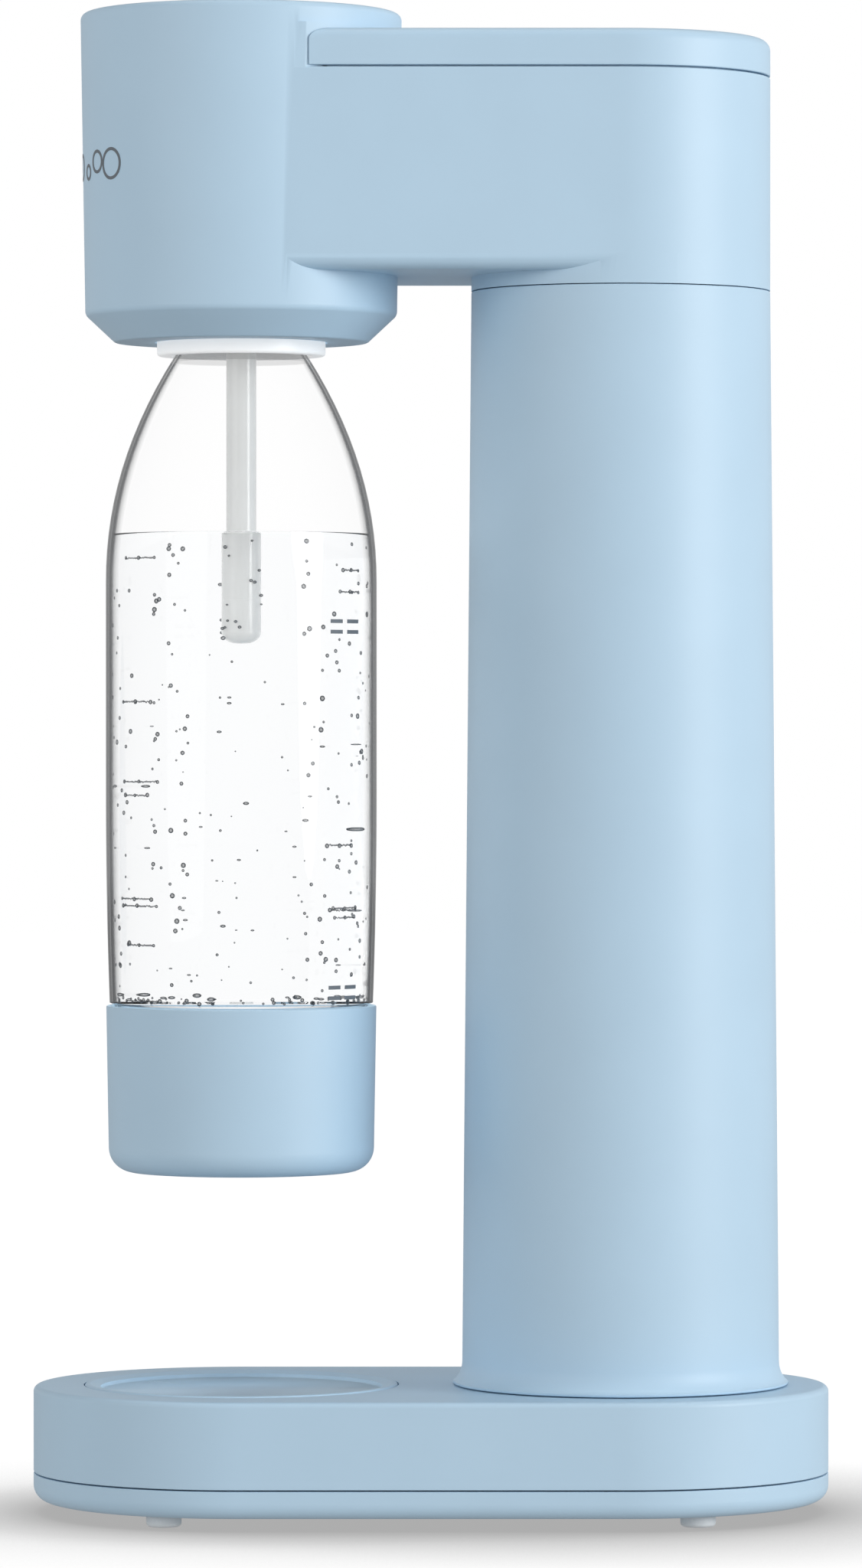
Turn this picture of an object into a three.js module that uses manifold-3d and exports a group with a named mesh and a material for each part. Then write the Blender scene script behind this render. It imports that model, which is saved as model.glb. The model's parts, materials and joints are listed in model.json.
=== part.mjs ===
// Soda carbonator: a hand-worked machine that presses carbon dioxide into a bottle of water.
// Millimetres, +Z up. The bottle side faces -Y, and X = 0 is the plane of symmetry.
// The head, bottle and drip tray share one upright axis, the column and gas cylinder the other.

import * as THREE from 'three';
import * as BufferGeometryUtils from 'three/addons/utils/BufferGeometryUtils.js';
import Module from 'manifold-3d';

const wasm = await Module();
wasm.setup();

// ---- Driving dimensions ------------------------------------------------------------------

// Fits and joint lines
const FIT = 0.3;                    // clearance between pieces that touch
const SEAM = 0.5;                   // joint line that shows between outer shells
const WALL = 2.5;                   // wall of the moulded shells
const OVERSHOOT = 5;                // how far a cutter runs past the face it opens

// Plan
const AXIS_SPACING = 109;           // from the bottle's axis to the column's axis
const HEAD_Y = -AXIS_SPACING / 2;
const COLUMN_Y = AXIS_SPACING / 2;

// Base
const BASE_HALF_WIDTH = 59.7;
const FOOT_HEIGHT = 3.2;
const FOOT_RADIUS = 5;
const FOOT_X = 42;
const FOOT_FROM_END = 38.9;         // foot centre to the end of the base
const FOOT_STEM_RADIUS = 3;
const FOOT_STEM_HEIGHT = 3;
const FOOT_EDGE = 0.8;
const PLATE_THICKNESS = 8;
const PLATE_EDGE = 4.5;             // rounding of the base plate's lower edge
const BASE_HEIGHT = 24.5;           // base housing, from its joint line to its top face
const BASE_EDGE = 1.8;              // rounding of the base housing's top edge
const BASE_WALL = 3;

// Drip tray
const TRAY_RADIUS = 45;
const TRAY_LIP = 2.4;               // width of the lip that hangs on the housing
const TRAY_DEPTH = 9.5;
const TRAY_WALL = 1.8;
const TRAY_LIP_DROP = 1.5;          // depth of the step that the lip sits in
const TRAY_LIP_PROUD = 0.4;
const TRAY_EDGE = 0.8;
const TRAY_FLARE = 1.2;             // drop from the lip's crest to the bowl's wall

// Column
const COLUMN_LENGTH = 313.4;
const COLUMN_FOOT_RADIUS = 45.5;
const COLUMN_TOP_RADIUS = 42.9;
const COLUMN_FLARE = 2.6;           // how far the foot flares out
const COLUMN_FLARE_HEIGHT = 6;

// Arm and lid
const NECK_DROP = 3.7;              // round neck under the arm
const ARM_HEIGHT = 56.9;
const ARM_EDGE = 4.5;               // rounding of the arm's lower edge
const LID_HEIGHT = 10.6;
const LID_EDGE = 3.3;               // rounding of the lid's top edge
const LID_SKIRT_DEPTH = 5;
const LID_SKIRT_WALL = 1.6;
const COLLAR_WIDTH = 0.8;           // step round the head in front of the lid
const COLLAR_RISE = 1.6;            // how far that step stands above the lid

// Head
const HEAD_RADIUS = 46.1;
const HEAD_TAPER = 1.35;            // the head narrows by this much down to its chamfer
const HEAD_ABOVE_LID = 7.6;
const HEAD_BELOW_ARM = 18.7;
const HEAD_EDGE = 2;                // rounding of the head's top edge
const CHAMFER_BLEND = 0.8;
const CHAMFER_RISE = 7.9;
const CHAMFER_RUN = 8.45;
const RIM_THICKNESS = 3;
const RIM_WIDTH = 4.1;              // flat rim round the button well
const WINDOW_HALF_WIDTH = 14;       // opening between arm and head for the lever and the hose

// Press button and its guide
const BUTTON_TRAVEL = 8;
const BUTTON_BORDER = 5.3;          // guide ring that shows round the button
const BUTTON_SUNK = 1.5;            // button top below the rim
const BUTTON_CAP = 4;
const BUTTON_SKIRT = 14.5;
const BUTTON_WALL = 2;
const BUTTON_STEM_RADIUS = 6;
const GUIDE_WALL = 1.8;
const GUIDE_FLOOR = 2;
const BUTTON_OVERRUN = 1;           // room left under the skirt at full travel
const BUTTON_EDGE = 1;
const BUTTON_DISH = 0.8;            // hollow in the middle of the button's top
const BUTTON_STEM_EDGE = 1.2;
const BUTTON_HOLE = BUTTON_STEM_RADIUS + 2.5;
const GUIDE_SUNK = 0.6;             // guide's flange below the rim

// Bottle
const BOTTLE_GAP = 61.2;            // room between the bottle's cup and the base
const BOTTLE_RADIUS = 38.9;
const BOTTLE_WALL = 1;
const BOTTLE_CUP_TOP_RADIUS = 37.8; // bottle just above its cup
const SHOULDER_TOP_RADIUS = 19.1;
const SHOULDER_HEIGHT = 64.8;
const NECK_RADIUS = 15.5;
const MOUTH_ABOVE_HEAD_FACE = 16.3;
const LIP_RADIUS = 16.1;
const LIP_HEIGHT = 3;
const CUP_HEIGHT = 47.7;
const CUP_RADIUS = 38.8;
const CUP_CORNER = 7;
const CUP_WALL = 1.6;
const CUP_DRAFT = 0.8;              // the cup narrows by this much down to its corner
const BOTTLE_PUSH_UP = 4;           // hollow in the middle of the bottle's base

// Bottle lock ring
const RING_RADIUS = 24.2;
const RING_DROP = 3.9;              // how far the ring stands out below the head
const RING_MOUTH_RADIUS = 20.3;
const RING_THROAT_RADIUS = 17;
const RING_FLANGE_RADIUS = 30;
const RING_FLANGE = 2.5;
const RING_EDGE = 0.7;

// Gas cylinder and its valve
const CYLINDER_RADIUS = 30;
const CYLINDER_WALL = 3;
const CYLINDER_CORNER = 4;
const CYLINDER_RAISED = 8;          // bottom of the cylinder above the table
const CYLINDER_SHOULDER = 32;
const CYLINDER_NECK_RADIUS = 13;
const CYLINDER_NECK = 12;
const VALVE_STEM_RADIUS = 8.7;
const VALVE_COLLAR_RADIUS = 13.5;
const VALVE_COLLAR = 9.7;
const VALVE_THREAD_RADIUS = 10.6;
const VALVE_THREAD = 20.7;
const VALVE_BORE = 1.9;
const PIN_RADIUS = 1.5;
const PIN_LENGTH = 34;

// Inner frame
const FRAME_WALL = 2.2;
const FRAME_CLEARANCE = 1.2;        // between the gas cylinder and the tube that guides it
const FRAME_PLATE = 4;
const FRAME_PLATE_DROP = 12.4;      // top of the frame's upper plate below the arm floor
const FRAME_FLANGE = 3;
const FRAME_FLANGE_WIDTH = 8.6;
const FRAME_PLATE_CLEARANCE = 1.5;  // between the upper plate and the column's wall
const FRAME_NECK_CLEARANCE = 2;     // round the cylinder's neck

// Gas head, plunger and hose
const GAS_HEAD_FLANGE_RADIUS = 22;
const GAS_HEAD_FLANGE = 3.8;
const GAS_HEAD_RADIUS = 14;
const GAS_HEAD_HEIGHT = 22;         // block above its flange
const SOCKET_RADIUS = 13.5;
const SOCKET_DEPTH = 12.2;          // socket below the flange
const OUTLET_RADIUS = 4.5;
const OUTLET_LENGTH = 4.5;
const OUTLET_HEIGHT = 10;           // outlet axis above the flange
const SEAL_THICKNESS = 1.7;
const PLUNGER_RADIUS = 2.4;
const PLUNGER_CAP_RADIUS = 6;
const PLUNGER_CAP = 3.5;
const PLUNGER_REACH = 8;            // plunger shows this much above the gas head
const PLUNGER_EDGE = 1;
const PLUNGER_NOSE = 2.4;           // slim end that enters the valve's bore
const OUTLET_OVERLAP = 6;           // how far the outlet spigot runs into the gas head
const HOSE_RADIUS = 2.6;
const HOSE_SIDESTEP = 6;
const FITTING_RADIUS = 4.2;
const FITTING_LENGTH = 8;
const FITTING_WEB = 2;

// Lever
const LEVER_PIVOT_FROM_COLUMN = 27.5;
const LEVER_HALF_WIDTH = 7;
const LEVER_THICKNESS = 5.5;
const LEVER_BOSS_RADIUS = 6;
const LEVER_NOSE = 7;               // lever tip beyond the button's axis
const LEVER_PAD = 0.9;
const LEVER_PAD_LENGTH = 9;
const LEVER_EDGE = 1;
const LEVER_PIVOT_RISE = 1;         // pivot above the middle of the bar
const LEVER_SIDE_GAP = 0.6;
const PIN_PROUD = 1;                // pivot pin beyond each ear
const PIVOT_PIN_RADIUS = 2.5;
const BRACKET_EAR = 3;
const BRACKET_EAR_LENGTH = 12;
const BRACKET_HALF_WIDTH = 21;
const BRACKET_FOOT_LENGTH = 10;
const BRACKET_FOOT = 3;
const BRACKET_SCREW_X = 16;

// Mixing head, nozzle and relief valve
const MIXER_FLANGE_RADIUS = 33;
const MIXER_FLANGE = 5;
const MIXER_SKIRT_RADIUS = 24;
const MIXER_SKIRT_BORE = 19.5;
const MIXER_HUB_RADIUS = 6;
const MIXER_HUB = 11;
const MIXER_BORE = 4.2;
const INLET_RADIUS = 4;
const INLET_LENGTH = 4.5;
const INLET_OVERLAP = 1.5;          // how far the inlet spigot runs into the hub
const MIXER_ROOF = 2;
const BOTTLE_SEAL_THICKNESS = 3.4;
const BOTTLE_SEAL_BORE = 12;
const ADAPTER_FLANGE_RADIUS = 7.5;
const ADAPTER_FLANGE = 5.7;
const ADAPTER_SLEEVE_RADIUS = 6.3;
const ADAPTER_SLEEVE = 9;
const ADAPTER_STEM = 12;
const GAS_BORE = 1.2;
const TUBE_RADIUS = 4.3;
const TUBE_BORE = 1.6;
const TUBE_LENGTH = 88;
const TIP_LENGTH = 12.2;
const TIP_EDGE = 1.8;               // rounding of the nozzle's blunt end
const TIP_SPIGOT = 4;
const TIP_BORE = 0.5;
const RELIEF_X = 11.8;
const RELIEF_RADIUS = 5.2;
const RELIEF_HEIGHT = 12.7;
const RELIEF_BORE = 3.6;
const RELIEF_FLOOR = 1.4;
const RELIEF_PORT_X = 10.4;
const POPPET_RADIUS = 3.2;
const POPPET_HEIGHT = 3;
const RELIEF_CAP = 2.2;
const RELIEF_PLUG = 2.3;
const RELIEF_VENT = 0.8;

// Screws
const SCREW_RADIUS = 1.4;
const SCREW_HEAD_RADIUS = 2.8;
const SCREW_HEAD = 2;
const BOSS_RADIUS = 4;
const LUG_WIDTH = 9;
const LUG_HEIGHT = 11.7;

// Facets
const FINE = 32;
const MEDIUM = 16;
const COARSE = 12;
const SCREW_SIDES = 8;
const EDGE_STEPS = 3;

// ---- Levels that follow from them, upwards from the table -----------------------------------

const PLATE_Z = FOOT_HEIGHT + FIT;
const PLATE_TOP_Z = PLATE_Z + PLATE_THICKNESS;
const BASE_Z = PLATE_TOP_Z + SEAM;
const BASE_TOP_Z = BASE_Z + BASE_HEIGHT;
const DECK_Z = BASE_TOP_Z - BASE_WALL;
const COLUMN_Z = BASE_TOP_Z + FIT;
const COLUMN_TOP_Z = COLUMN_Z + COLUMN_LENGTH;
const NECK_Z = COLUMN_TOP_Z + SEAM;
const ARM_Z = NECK_Z + NECK_DROP;
const ARM_FLOOR_Z = ARM_Z + WALL;
const ARM_TOP_Z = ARM_Z + ARM_HEIGHT;
const LID_Z = ARM_TOP_Z + SEAM;
const LID_TOP_Z = LID_Z + LID_HEIGHT;
const HEAD_Z = ARM_Z - HEAD_BELOW_ARM;
const HEAD_TOP_Z = LID_TOP_Z + HEAD_ABOVE_LID;
const RING_Z = HEAD_Z - RING_DROP;
const RING_SEAT_Z = HEAD_Z + WALL + FIT;
const RING_TOP_Z = RING_SEAT_Z + RING_FLANGE;
const MOUTH_Z = HEAD_Z + MOUTH_ABOVE_HEAD_FACE;
const BOTTLE_SEAL_Z = MOUTH_Z + FIT;
const MIXER_Z = BOTTLE_SEAL_Z + BOTTLE_SEAL_THICKNESS + FIT;
const MIXER_TOP_Z = MIXER_Z + MIXER_FLANGE;
const SHOULDER_Z = RING_Z - SHOULDER_HEIGHT;
const CUP_Z = BASE_TOP_Z + BOTTLE_GAP;
const CUP_TOP_Z = CUP_Z + CUP_HEIGHT;
const BOTTLE_Z = CUP_Z + CUP_WALL + CUP_WALL;
const BUTTON_TOP_Z = HEAD_TOP_Z - BUTTON_SUNK;
const GUIDE_Z = BUTTON_TOP_Z - BUTTON_SKIRT - BUTTON_TRAVEL - BUTTON_OVERRUN - GUIDE_FLOOR;
const GAS_HEAD_Z = ARM_FLOOR_Z + FIT;
const GAS_BLOCK_Z = GAS_HEAD_Z + GAS_HEAD_FLANGE;
const GAS_HEAD_TOP_Z = GAS_BLOCK_Z + GAS_HEAD_HEIGHT;
const OUTLET_Z = GAS_BLOCK_Z + OUTLET_HEIGHT;
const SOCKET_Z = GAS_HEAD_Z - SOCKET_DEPTH;
const SOCKET_TOP_Z = GAS_BLOCK_Z + 2;
const GAS_SEAL_Z = SOCKET_TOP_Z - FIT - SEAL_THICKNESS;
const VALVE_TOP_Z = GAS_SEAL_Z - FIT;
const VALVE_COLLAR_TOP_Z = VALVE_TOP_Z - VALVE_THREAD;
const VALVE_COLLAR_Z = VALVE_COLLAR_TOP_Z - VALVE_COLLAR;
const CYLINDER_TOP_Z = VALVE_COLLAR_Z - FIT;
const PLUNGER_TOP_Z = GAS_HEAD_TOP_Z + PLUNGER_REACH + PLUNGER_CAP;
const LEVER_Z = PLUNGER_TOP_Z + FIT + LEVER_PAD;
const LEVER_TOP_Z = LEVER_Z + LEVER_THICKNESS;
const PIVOT_Y = COLUMN_Y + LEVER_PIVOT_FROM_COLUMN;
const PIVOT_Z = LEVER_Z + LEVER_THICKNESS / 2 + LEVER_PIVOT_RISE;
const FRAME_PLATE_TOP_Z = ARM_Z - FRAME_PLATE_DROP;
const FRAME_BORE = CYLINDER_RADIUS + FRAME_CLEARANCE;
const FRAME_RADIUS = FRAME_BORE + FRAME_WALL;
const FRAME_FLANGE_RADIUS = FRAME_RADIUS + FRAME_FLANGE_WIDTH;
const FRAME_Z = PLATE_TOP_Z + SEAM + FIT;
const COLUMN_TOP_BORE = COLUMN_TOP_RADIUS - WALL;
const COLUMN_FOOT_BORE = COLUMN_FOOT_RADIUS - WALL;
const ARM_BORE = COLUMN_TOP_RADIUS - WALL;
const WELL_RADIUS = HEAD_RADIUS - RIM_WIDTH;
const GUIDE_BORE = WELL_RADIUS - BUTTON_BORDER + FIT;
const BUTTON_RADIUS = GUIDE_BORE - FIT;
const INLET_Z = MIXER_TOP_Z + MIXER_HUB / 2 + 0.5;

// ---- Screw places, as [x, y] from the axis that each set goes round -----------------------------

const FRAME_SCREW_CIRCLE = (FRAME_RADIUS + COLUMN_TOP_BORE) / 2 - BOSS_RADIUS;
const FRAME_SCREWS = threeRound(FRAME_SCREW_CIRCLE);
const FRAME_FOOT_SCREWS = twoAcross(FRAME_RADIUS + FRAME_FLANGE_WIDTH / 2);
const GAS_HEAD_SCREWS = twoAcross((GAS_HEAD_RADIUS + GAS_HEAD_FLANGE_RADIUS) / 2 + 0.4);
const MIXER_SCREWS = threeRound(MIXER_FLANGE_RADIUS - BOSS_RADIUS);
const GUIDE_SCREWS = twoAcross(GUIDE_BORE - 7);
const BRACKET_SCREWS = twoAcross(BRACKET_SCREW_X);
const BASE_SCREW_X = BASE_HALF_WIDTH - 11.7;
const BASE_SCREW_Y = 38;
const BASE_SCREWS = cornersOf(BASE_SCREW_X, BASE_SCREW_Y);
const FOOT_Y = COLUMN_Y + BASE_HALF_WIDTH - FOOT_FROM_END;
const FEET = cornersOf(FOOT_X, FOOT_Y);
const CORNER_NAMES = ['front_left', 'front_right', 'rear_left', 'rear_right'];

function threeRound(radius) {
  return [[-radius, 0], [radius, 0], [0, -radius]];
}

function twoAcross(radius) {
  return [[-radius, 0], [radius, 0]];
}

function cornersOf(x, y) {
  return [[-x, -y], [x, -y], [-x, y], [x, y]];
}

// ---- Geometry helpers -----------------------------------------------------------------------

// A closed three.js geometry as a solid that can be joined and cut
function solidOf(geometry) {
  geometry.deleteAttribute('normal');
  geometry.deleteAttribute('uv');
  const merged = BufferGeometryUtils.mergeVertices(geometry);
  const corners = merged.index.array;
  const kept = [];
  for (let i = 0; i < corners.length; i += 3) {
    const [a, b, c] = corners.slice(i, i + 3);
    if (a !== b && b !== c && c !== a) kept.push(a, b, c);
  }
  const vertProperties = new Float32Array(merged.attributes.position.array);
  return new wasm.Manifold(new wasm.Mesh({ numProp: 3, vertProperties, triVerts: new Uint32Array(kept) }));
}

function geometryOf(solid) {
  const mesh = solid.getMesh();
  const geometry = new THREE.BufferGeometry();
  geometry.setAttribute('position', new THREE.BufferAttribute(new Float32Array(mesh.vertProperties), 3));
  geometry.setIndex(new THREE.BufferAttribute(new Uint32Array(mesh.triVerts), 1));
  geometry.computeVertexNormals();
  return geometry;
}

function joined(solids) {
  return solids.reduce((sum, solid) => sum.add(solid));
}

function cut(solid, cutters) {
  return solid.subtract(joined(cutters));
}

// Points on a rounded edge, as [radius, height], between two angles in degrees
function arc(r, z, radius, from, to, steps = EDGE_STEPS) {
  const points = [];
  for (let i = 0; i <= steps; i += 1) {
    const angle = THREE.MathUtils.degToRad(from + (to - from) * i / steps);
    points.push([r + radius * Math.cos(angle), z + radius * Math.sin(angle)]);
  }
  return points;
}

// An outline of [radius, height] points, going up its outer side, as a lathe outline
function latheOutline(points) {
  const outline = points.map(([r, along]) => new THREE.Vector2(r, along));
  const closesOnAxis = points[0][0] === 0 && points[points.length - 1][0] === 0;
  if (!closesOnAxis) outline.push(outline[0].clone());
  return outline;
}

// Turned about the upright axis through x, y
function turned(points, segments = MEDIUM, x = 0, y = 0) {
  const geometry = new THREE.LatheGeometry(latheOutline(points), segments);
  geometry.rotateX(Math.PI / 2);
  geometry.translate(x, y, 0);
  return solidOf(geometry);
}

// Turned about an axis along Y through z
function turnedAlongY(points, z, segments = COARSE) {
  const geometry = new THREE.LatheGeometry(latheOutline(points), segments);
  geometry.translate(0, 0, z);
  return solidOf(geometry);
}

function drum(radius, bottom, top, segments = MEDIUM, x = 0, y = 0) {
  return turned([[0, bottom], [radius, bottom], [radius, top], [0, top]], segments, x, y);
}

function sleeve(bore, radius, bottom, top, segments = MEDIUM, x = 0, y = 0) {
  return turned([[bore, bottom], [radius, bottom], [radius, top], [bore, top]], segments, x, y);
}

function block(x, y, z) {
  const geometry = new THREE.BoxGeometry(x[1] - x[0], y[1] - y[0], z[1] - z[0]);
  geometry.translate((x[0] + x[1]) / 2, (y[0] + y[1]) / 2, (z[0] + z[1]) / 2);
  return solidOf(geometry);
}

// A side view of [y, z] points, carried across from -halfWidth to halfWidth
function acrossX(points, halfWidth) {
  const shape = new THREE.Shape(points.map(([y, z]) => new THREE.Vector2(y, z)));
  const geometry = new THREE.ExtrudeGeometry(shape, { depth: 2 * halfWidth, bevelEnabled: false });
  geometry.translate(0, 0, -halfWidth);
  const toSideView = new THREE.Matrix4().makeBasis(
    new THREE.Vector3(0, 1, 0),
    new THREE.Vector3(0, 0, 1),
    new THREE.Vector3(1, 0, 0),
  );
  geometry.applyMatrix4(toSideView);
  return solidOf(geometry);
}

// A long body with round ends: the outline turned at both axes and carried along between them
function stadium(points) {
  const section = points.map(([r, z]) => [r, z]);
  const mirrored = points.filter(([r]) => r > 0).map(([r, z]) => [-r, z]).reverse();
  const shape = new THREE.Shape([...section, ...mirrored].map(([x, z]) => new THREE.Vector2(x, z)));
  const geometry = new THREE.ExtrudeGeometry(shape, { depth: AXIS_SPACING, bevelEnabled: false });
  geometry.rotateX(Math.PI / 2);
  geometry.translate(0, COLUMN_Y, 0);
  return joined([solidOf(geometry), turned(points, FINE, 0, HEAD_Y), turned(points, FINE, 0, COLUMN_Y)]);
}

class Helix extends THREE.Curve {
  constructor(radius, bottom, top, turns) {
    super();
    this.radius = radius;
    this.bottom = bottom;
    this.top = top;
    this.turns = turns;
  }

  getPoint(t, target = new THREE.Vector3()) {
    const angle = 2 * Math.PI * this.turns * t;
    const z = this.bottom + (this.top - this.bottom) * t;
    return target.set(this.radius * Math.cos(angle), this.radius * Math.sin(angle), z);
  }
}

function sweep(curve, radius, steps, quarterSides) {
  const circle = new THREE.Shape();
  circle.absarc(0, 0, radius, 0, 2 * Math.PI);
  const settings = { steps, curveSegments: quarterSides, extrudePath: curve };
  return solidOf(new THREE.ExtrudeGeometry(circle, settings));
}

function spring(radius, wire, bottom, top, turns) {
  const stepsPerTurn = 8;
  const curve = new Helix(radius, bottom + wire, top - wire, turns);
  return sweep(curve, wire, stepsPerTurn * turns, 2);
}

// A drum at each screw place, for a hole or a boss
function upright(places, radius, bottom, top, y = 0) {
  return places.map(([x, along]) => drum(radius, bottom, top, SCREW_SIDES, x, along + y));
}

// ---- Finishes ---------------------------------------------------------------------------------

function finish(color, roughness, metalness = 0, opacity = 1) {
  return new THREE.MeshStandardMaterial({ color, roughness, metalness, opacity, transparent: opacity < 1 });
}

const shellBlue = () => finish(0xadc7d8, 0.45);
const innerGrey = () => finish(0x8d959b, 0.6);
const whitePlastic = () => finish(0xeef0f1, 0.4);
const clearPlastic = () => finish(0xf2f6f8, 0.08, 0, 0.35);
const milkyPlastic = () => finish(0xd4d6d6, 0.3, 0, 0.7);
const softRubber = () => finish(0x3a3d40, 0.8);
const paleRubber = () => finish(0xd9dfe3, 0.6);
const steel = () => finish(0xb9bcc0, 0.3, 1);
const brass = () => finish(0xc2a15a, 0.35, 1);
const aluminium = () => finish(0xb7bdc4, 0.35, 1);

const machine = new THREE.Group();
const headAxis = new THREE.Group();
headAxis.position.y = HEAD_Y;
const columnAxis = new THREE.Group();
columnAxis.position.y = COLUMN_Y;
machine.add(headAxis, columnAxis);

function place(parent, name, solid, material) {
  const mesh = new THREE.Mesh(geometryOf(solid), material);
  mesh.name = name;
  parent.add(mesh);
  return mesh;
}

// ---- Screws -------------------------------------------------------------------------------------

// The underside of the head is at z = 0, and the shank points down
function screw(length) {
  return turned([
    [0, -length],
    [SCREW_RADIUS, -length],
    [SCREW_RADIUS, 0],
    [SCREW_HEAD_RADIUS, 0],
    [SCREW_HEAD_RADIUS, SCREW_HEAD],
    [0, SCREW_HEAD],
  ], SCREW_SIDES);
}

function placeScrews(parent, label, places, z, length, fromBelow = false) {
  places.forEach(([x, y], index) => {
    const mesh = place(parent, `${label}_screw_${index + 1}`, screw(length), steel());
    mesh.position.set(x, y, z);
    if (fromBelow) mesh.rotation.x = Math.PI;
  });
}

// ---- Base ---------------------------------------------------------------------------------------

const SCREW_HOLE = SCREW_RADIUS + FIT;
const SCREW_SINK = SCREW_HEAD_RADIUS + FIT;
const PLATE_SINK = 4.2;             // depth of the screw sinks in the base plate
const BOSS_DEPTH = 12;              // depth of a pilot hole
const FOOT_SOCKET_DEPTH = FOOT_STEM_HEIGHT + FIT + FIT;

function basePlate() {
  const body = stadium([
    [0, PLATE_Z],
    ...arc(BASE_HALF_WIDTH - PLATE_EDGE, PLATE_Z + PLATE_EDGE, PLATE_EDGE, -90, 0),
    [BASE_HALF_WIDTH, PLATE_TOP_Z],
    [0, PLATE_TOP_Z],
  ]);
  const below = PLATE_Z - OVERSHOOT;
  const above = PLATE_TOP_Z + OVERSHOOT;
  return cut(body, [
    drum(FRAME_BORE, below, above, MEDIUM, 0, COLUMN_Y),
    ...upright(FEET, FOOT_STEM_RADIUS + FIT, below, PLATE_Z + FOOT_SOCKET_DEPTH),
    ...upright(BASE_SCREWS, SCREW_HOLE, below, above),
    ...upright(BASE_SCREWS, SCREW_SINK, below, PLATE_Z + PLATE_SINK),
    ...upright(FRAME_FOOT_SCREWS, SCREW_HOLE, below, above, COLUMN_Y),
    ...upright(FRAME_FOOT_SCREWS, SCREW_SINK, below, PLATE_Z + PLATE_SINK, COLUMN_Y),
  ]);
}

function baseHousing() {
  const outer = stadium([
    [0, BASE_Z],
    [BASE_HALF_WIDTH, BASE_Z],
    ...arc(BASE_HALF_WIDTH - BASE_EDGE, BASE_TOP_Z - BASE_EDGE, BASE_EDGE, 0, 90),
    [0, BASE_TOP_Z],
  ]);
  const innerHalfWidth = BASE_HALF_WIDTH - BASE_WALL;
  const inner = stadium([
    [0, BASE_Z - OVERSHOOT],
    [innerHalfWidth, BASE_Z - OVERSHOOT],
    [innerHalfWidth, DECK_Z],
    [0, DECK_Z],
  ]);
  const bosses = upright(BASE_SCREWS, BOSS_RADIUS, BASE_Z, DECK_Z + 1);
  const above = BASE_TOP_Z + OVERSHOOT;
  return cut(joined([cut(outer, [inner]), ...bosses]), [
    drum(TRAY_RADIUS - TRAY_LIP, DECK_Z - OVERSHOOT, above, FINE, 0, HEAD_Y),
    drum(TRAY_RADIUS + FIT, BASE_TOP_Z - TRAY_LIP_DROP, above, FINE, 0, HEAD_Y),
    drum(FRAME_RADIUS + FIT, DECK_Z - OVERSHOOT, above, MEDIUM, 0, COLUMN_Y),
    ...upright(BASE_SCREWS, SCREW_HOLE, BASE_Z - OVERSHOOT, BASE_Z + BOSS_DEPTH),
  ]);
}

function foot() {
  return turned([
    [0, 0],
    [FOOT_RADIUS - FOOT_EDGE, 0],
    [FOOT_RADIUS, FOOT_EDGE],
    [FOOT_RADIUS, FOOT_HEIGHT],
    [FOOT_STEM_RADIUS, FOOT_HEIGHT],
    [FOOT_STEM_RADIUS, FOOT_HEIGHT + FOOT_STEM_HEIGHT],
    [0, FOOT_HEIGHT + FOOT_STEM_HEIGHT],
  ], COARSE);
}

function dripTray() {
  const lipTop = BASE_TOP_Z + TRAY_LIP_PROUD;
  const lipUnder = BASE_TOP_Z - TRAY_LIP_DROP + FIT;
  const neck = TRAY_RADIUS - TRAY_LIP - FIT;
  const bowl = neck - TRAY_WALL;
  const bottom = lipTop - TRAY_DEPTH;
  const floorRadius = bowl / 2;
  const dish = bowlCurve(floorRadius, bowl, bottom, lipTop - TRAY_FLARE);
  const under = bowlCurve(floorRadius, neck, bottom - TRAY_WALL, lipUnder);
  return turned([
    [0, bottom - TRAY_WALL],
    ...under,
    [TRAY_RADIUS, lipUnder],
    ...arc(TRAY_RADIUS - TRAY_EDGE, lipTop - TRAY_EDGE, TRAY_EDGE, 0, 90, 2),
    [TRAY_RADIUS - TRAY_LIP, lipTop - TRAY_FLARE / 4],
    ...dish.reverse(),
    [0, bottom],
  ], FINE);
}

// A smooth quarter-ellipse from the flat floor of a bowl out to its rim
function bowlCurve(floorRadius, rimRadius, bottom, top) {
  const points = [];
  const steps = 4;
  for (let i = 0; i <= steps; i += 1) {
    const angle = i / steps * Math.PI / 2;
    const r = floorRadius + (rimRadius - floorRadius) * Math.sin(angle);
    points.push([r, top - (top - bottom) * Math.cos(angle)]);
  }
  return points;
}

// ---- Column and inner frame ----------------------------------------------------------------------

function columnShell() {
  const flareTop = COLUMN_Z + COLUMN_FLARE_HEIGHT;
  const flare = arc(
    COLUMN_FOOT_RADIUS + COLUMN_FLARE_HEIGHT,
    flareTop,
    COLUMN_FLARE_HEIGHT,
    180 + Math.acos(1 - COLUMN_FLARE / COLUMN_FLARE_HEIGHT) * 180 / Math.PI,
    180,
    4,
  );
  return turned([
    [COLUMN_FOOT_RADIUS + COLUMN_FLARE, COLUMN_Z],
    ...flare,
    [COLUMN_TOP_RADIUS, COLUMN_TOP_Z],
    [COLUMN_TOP_BORE, COLUMN_TOP_Z],
    [COLUMN_FOOT_BORE, flareTop],
    [COLUMN_FOOT_BORE, COLUMN_Z],
  ], FINE);
}

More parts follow.
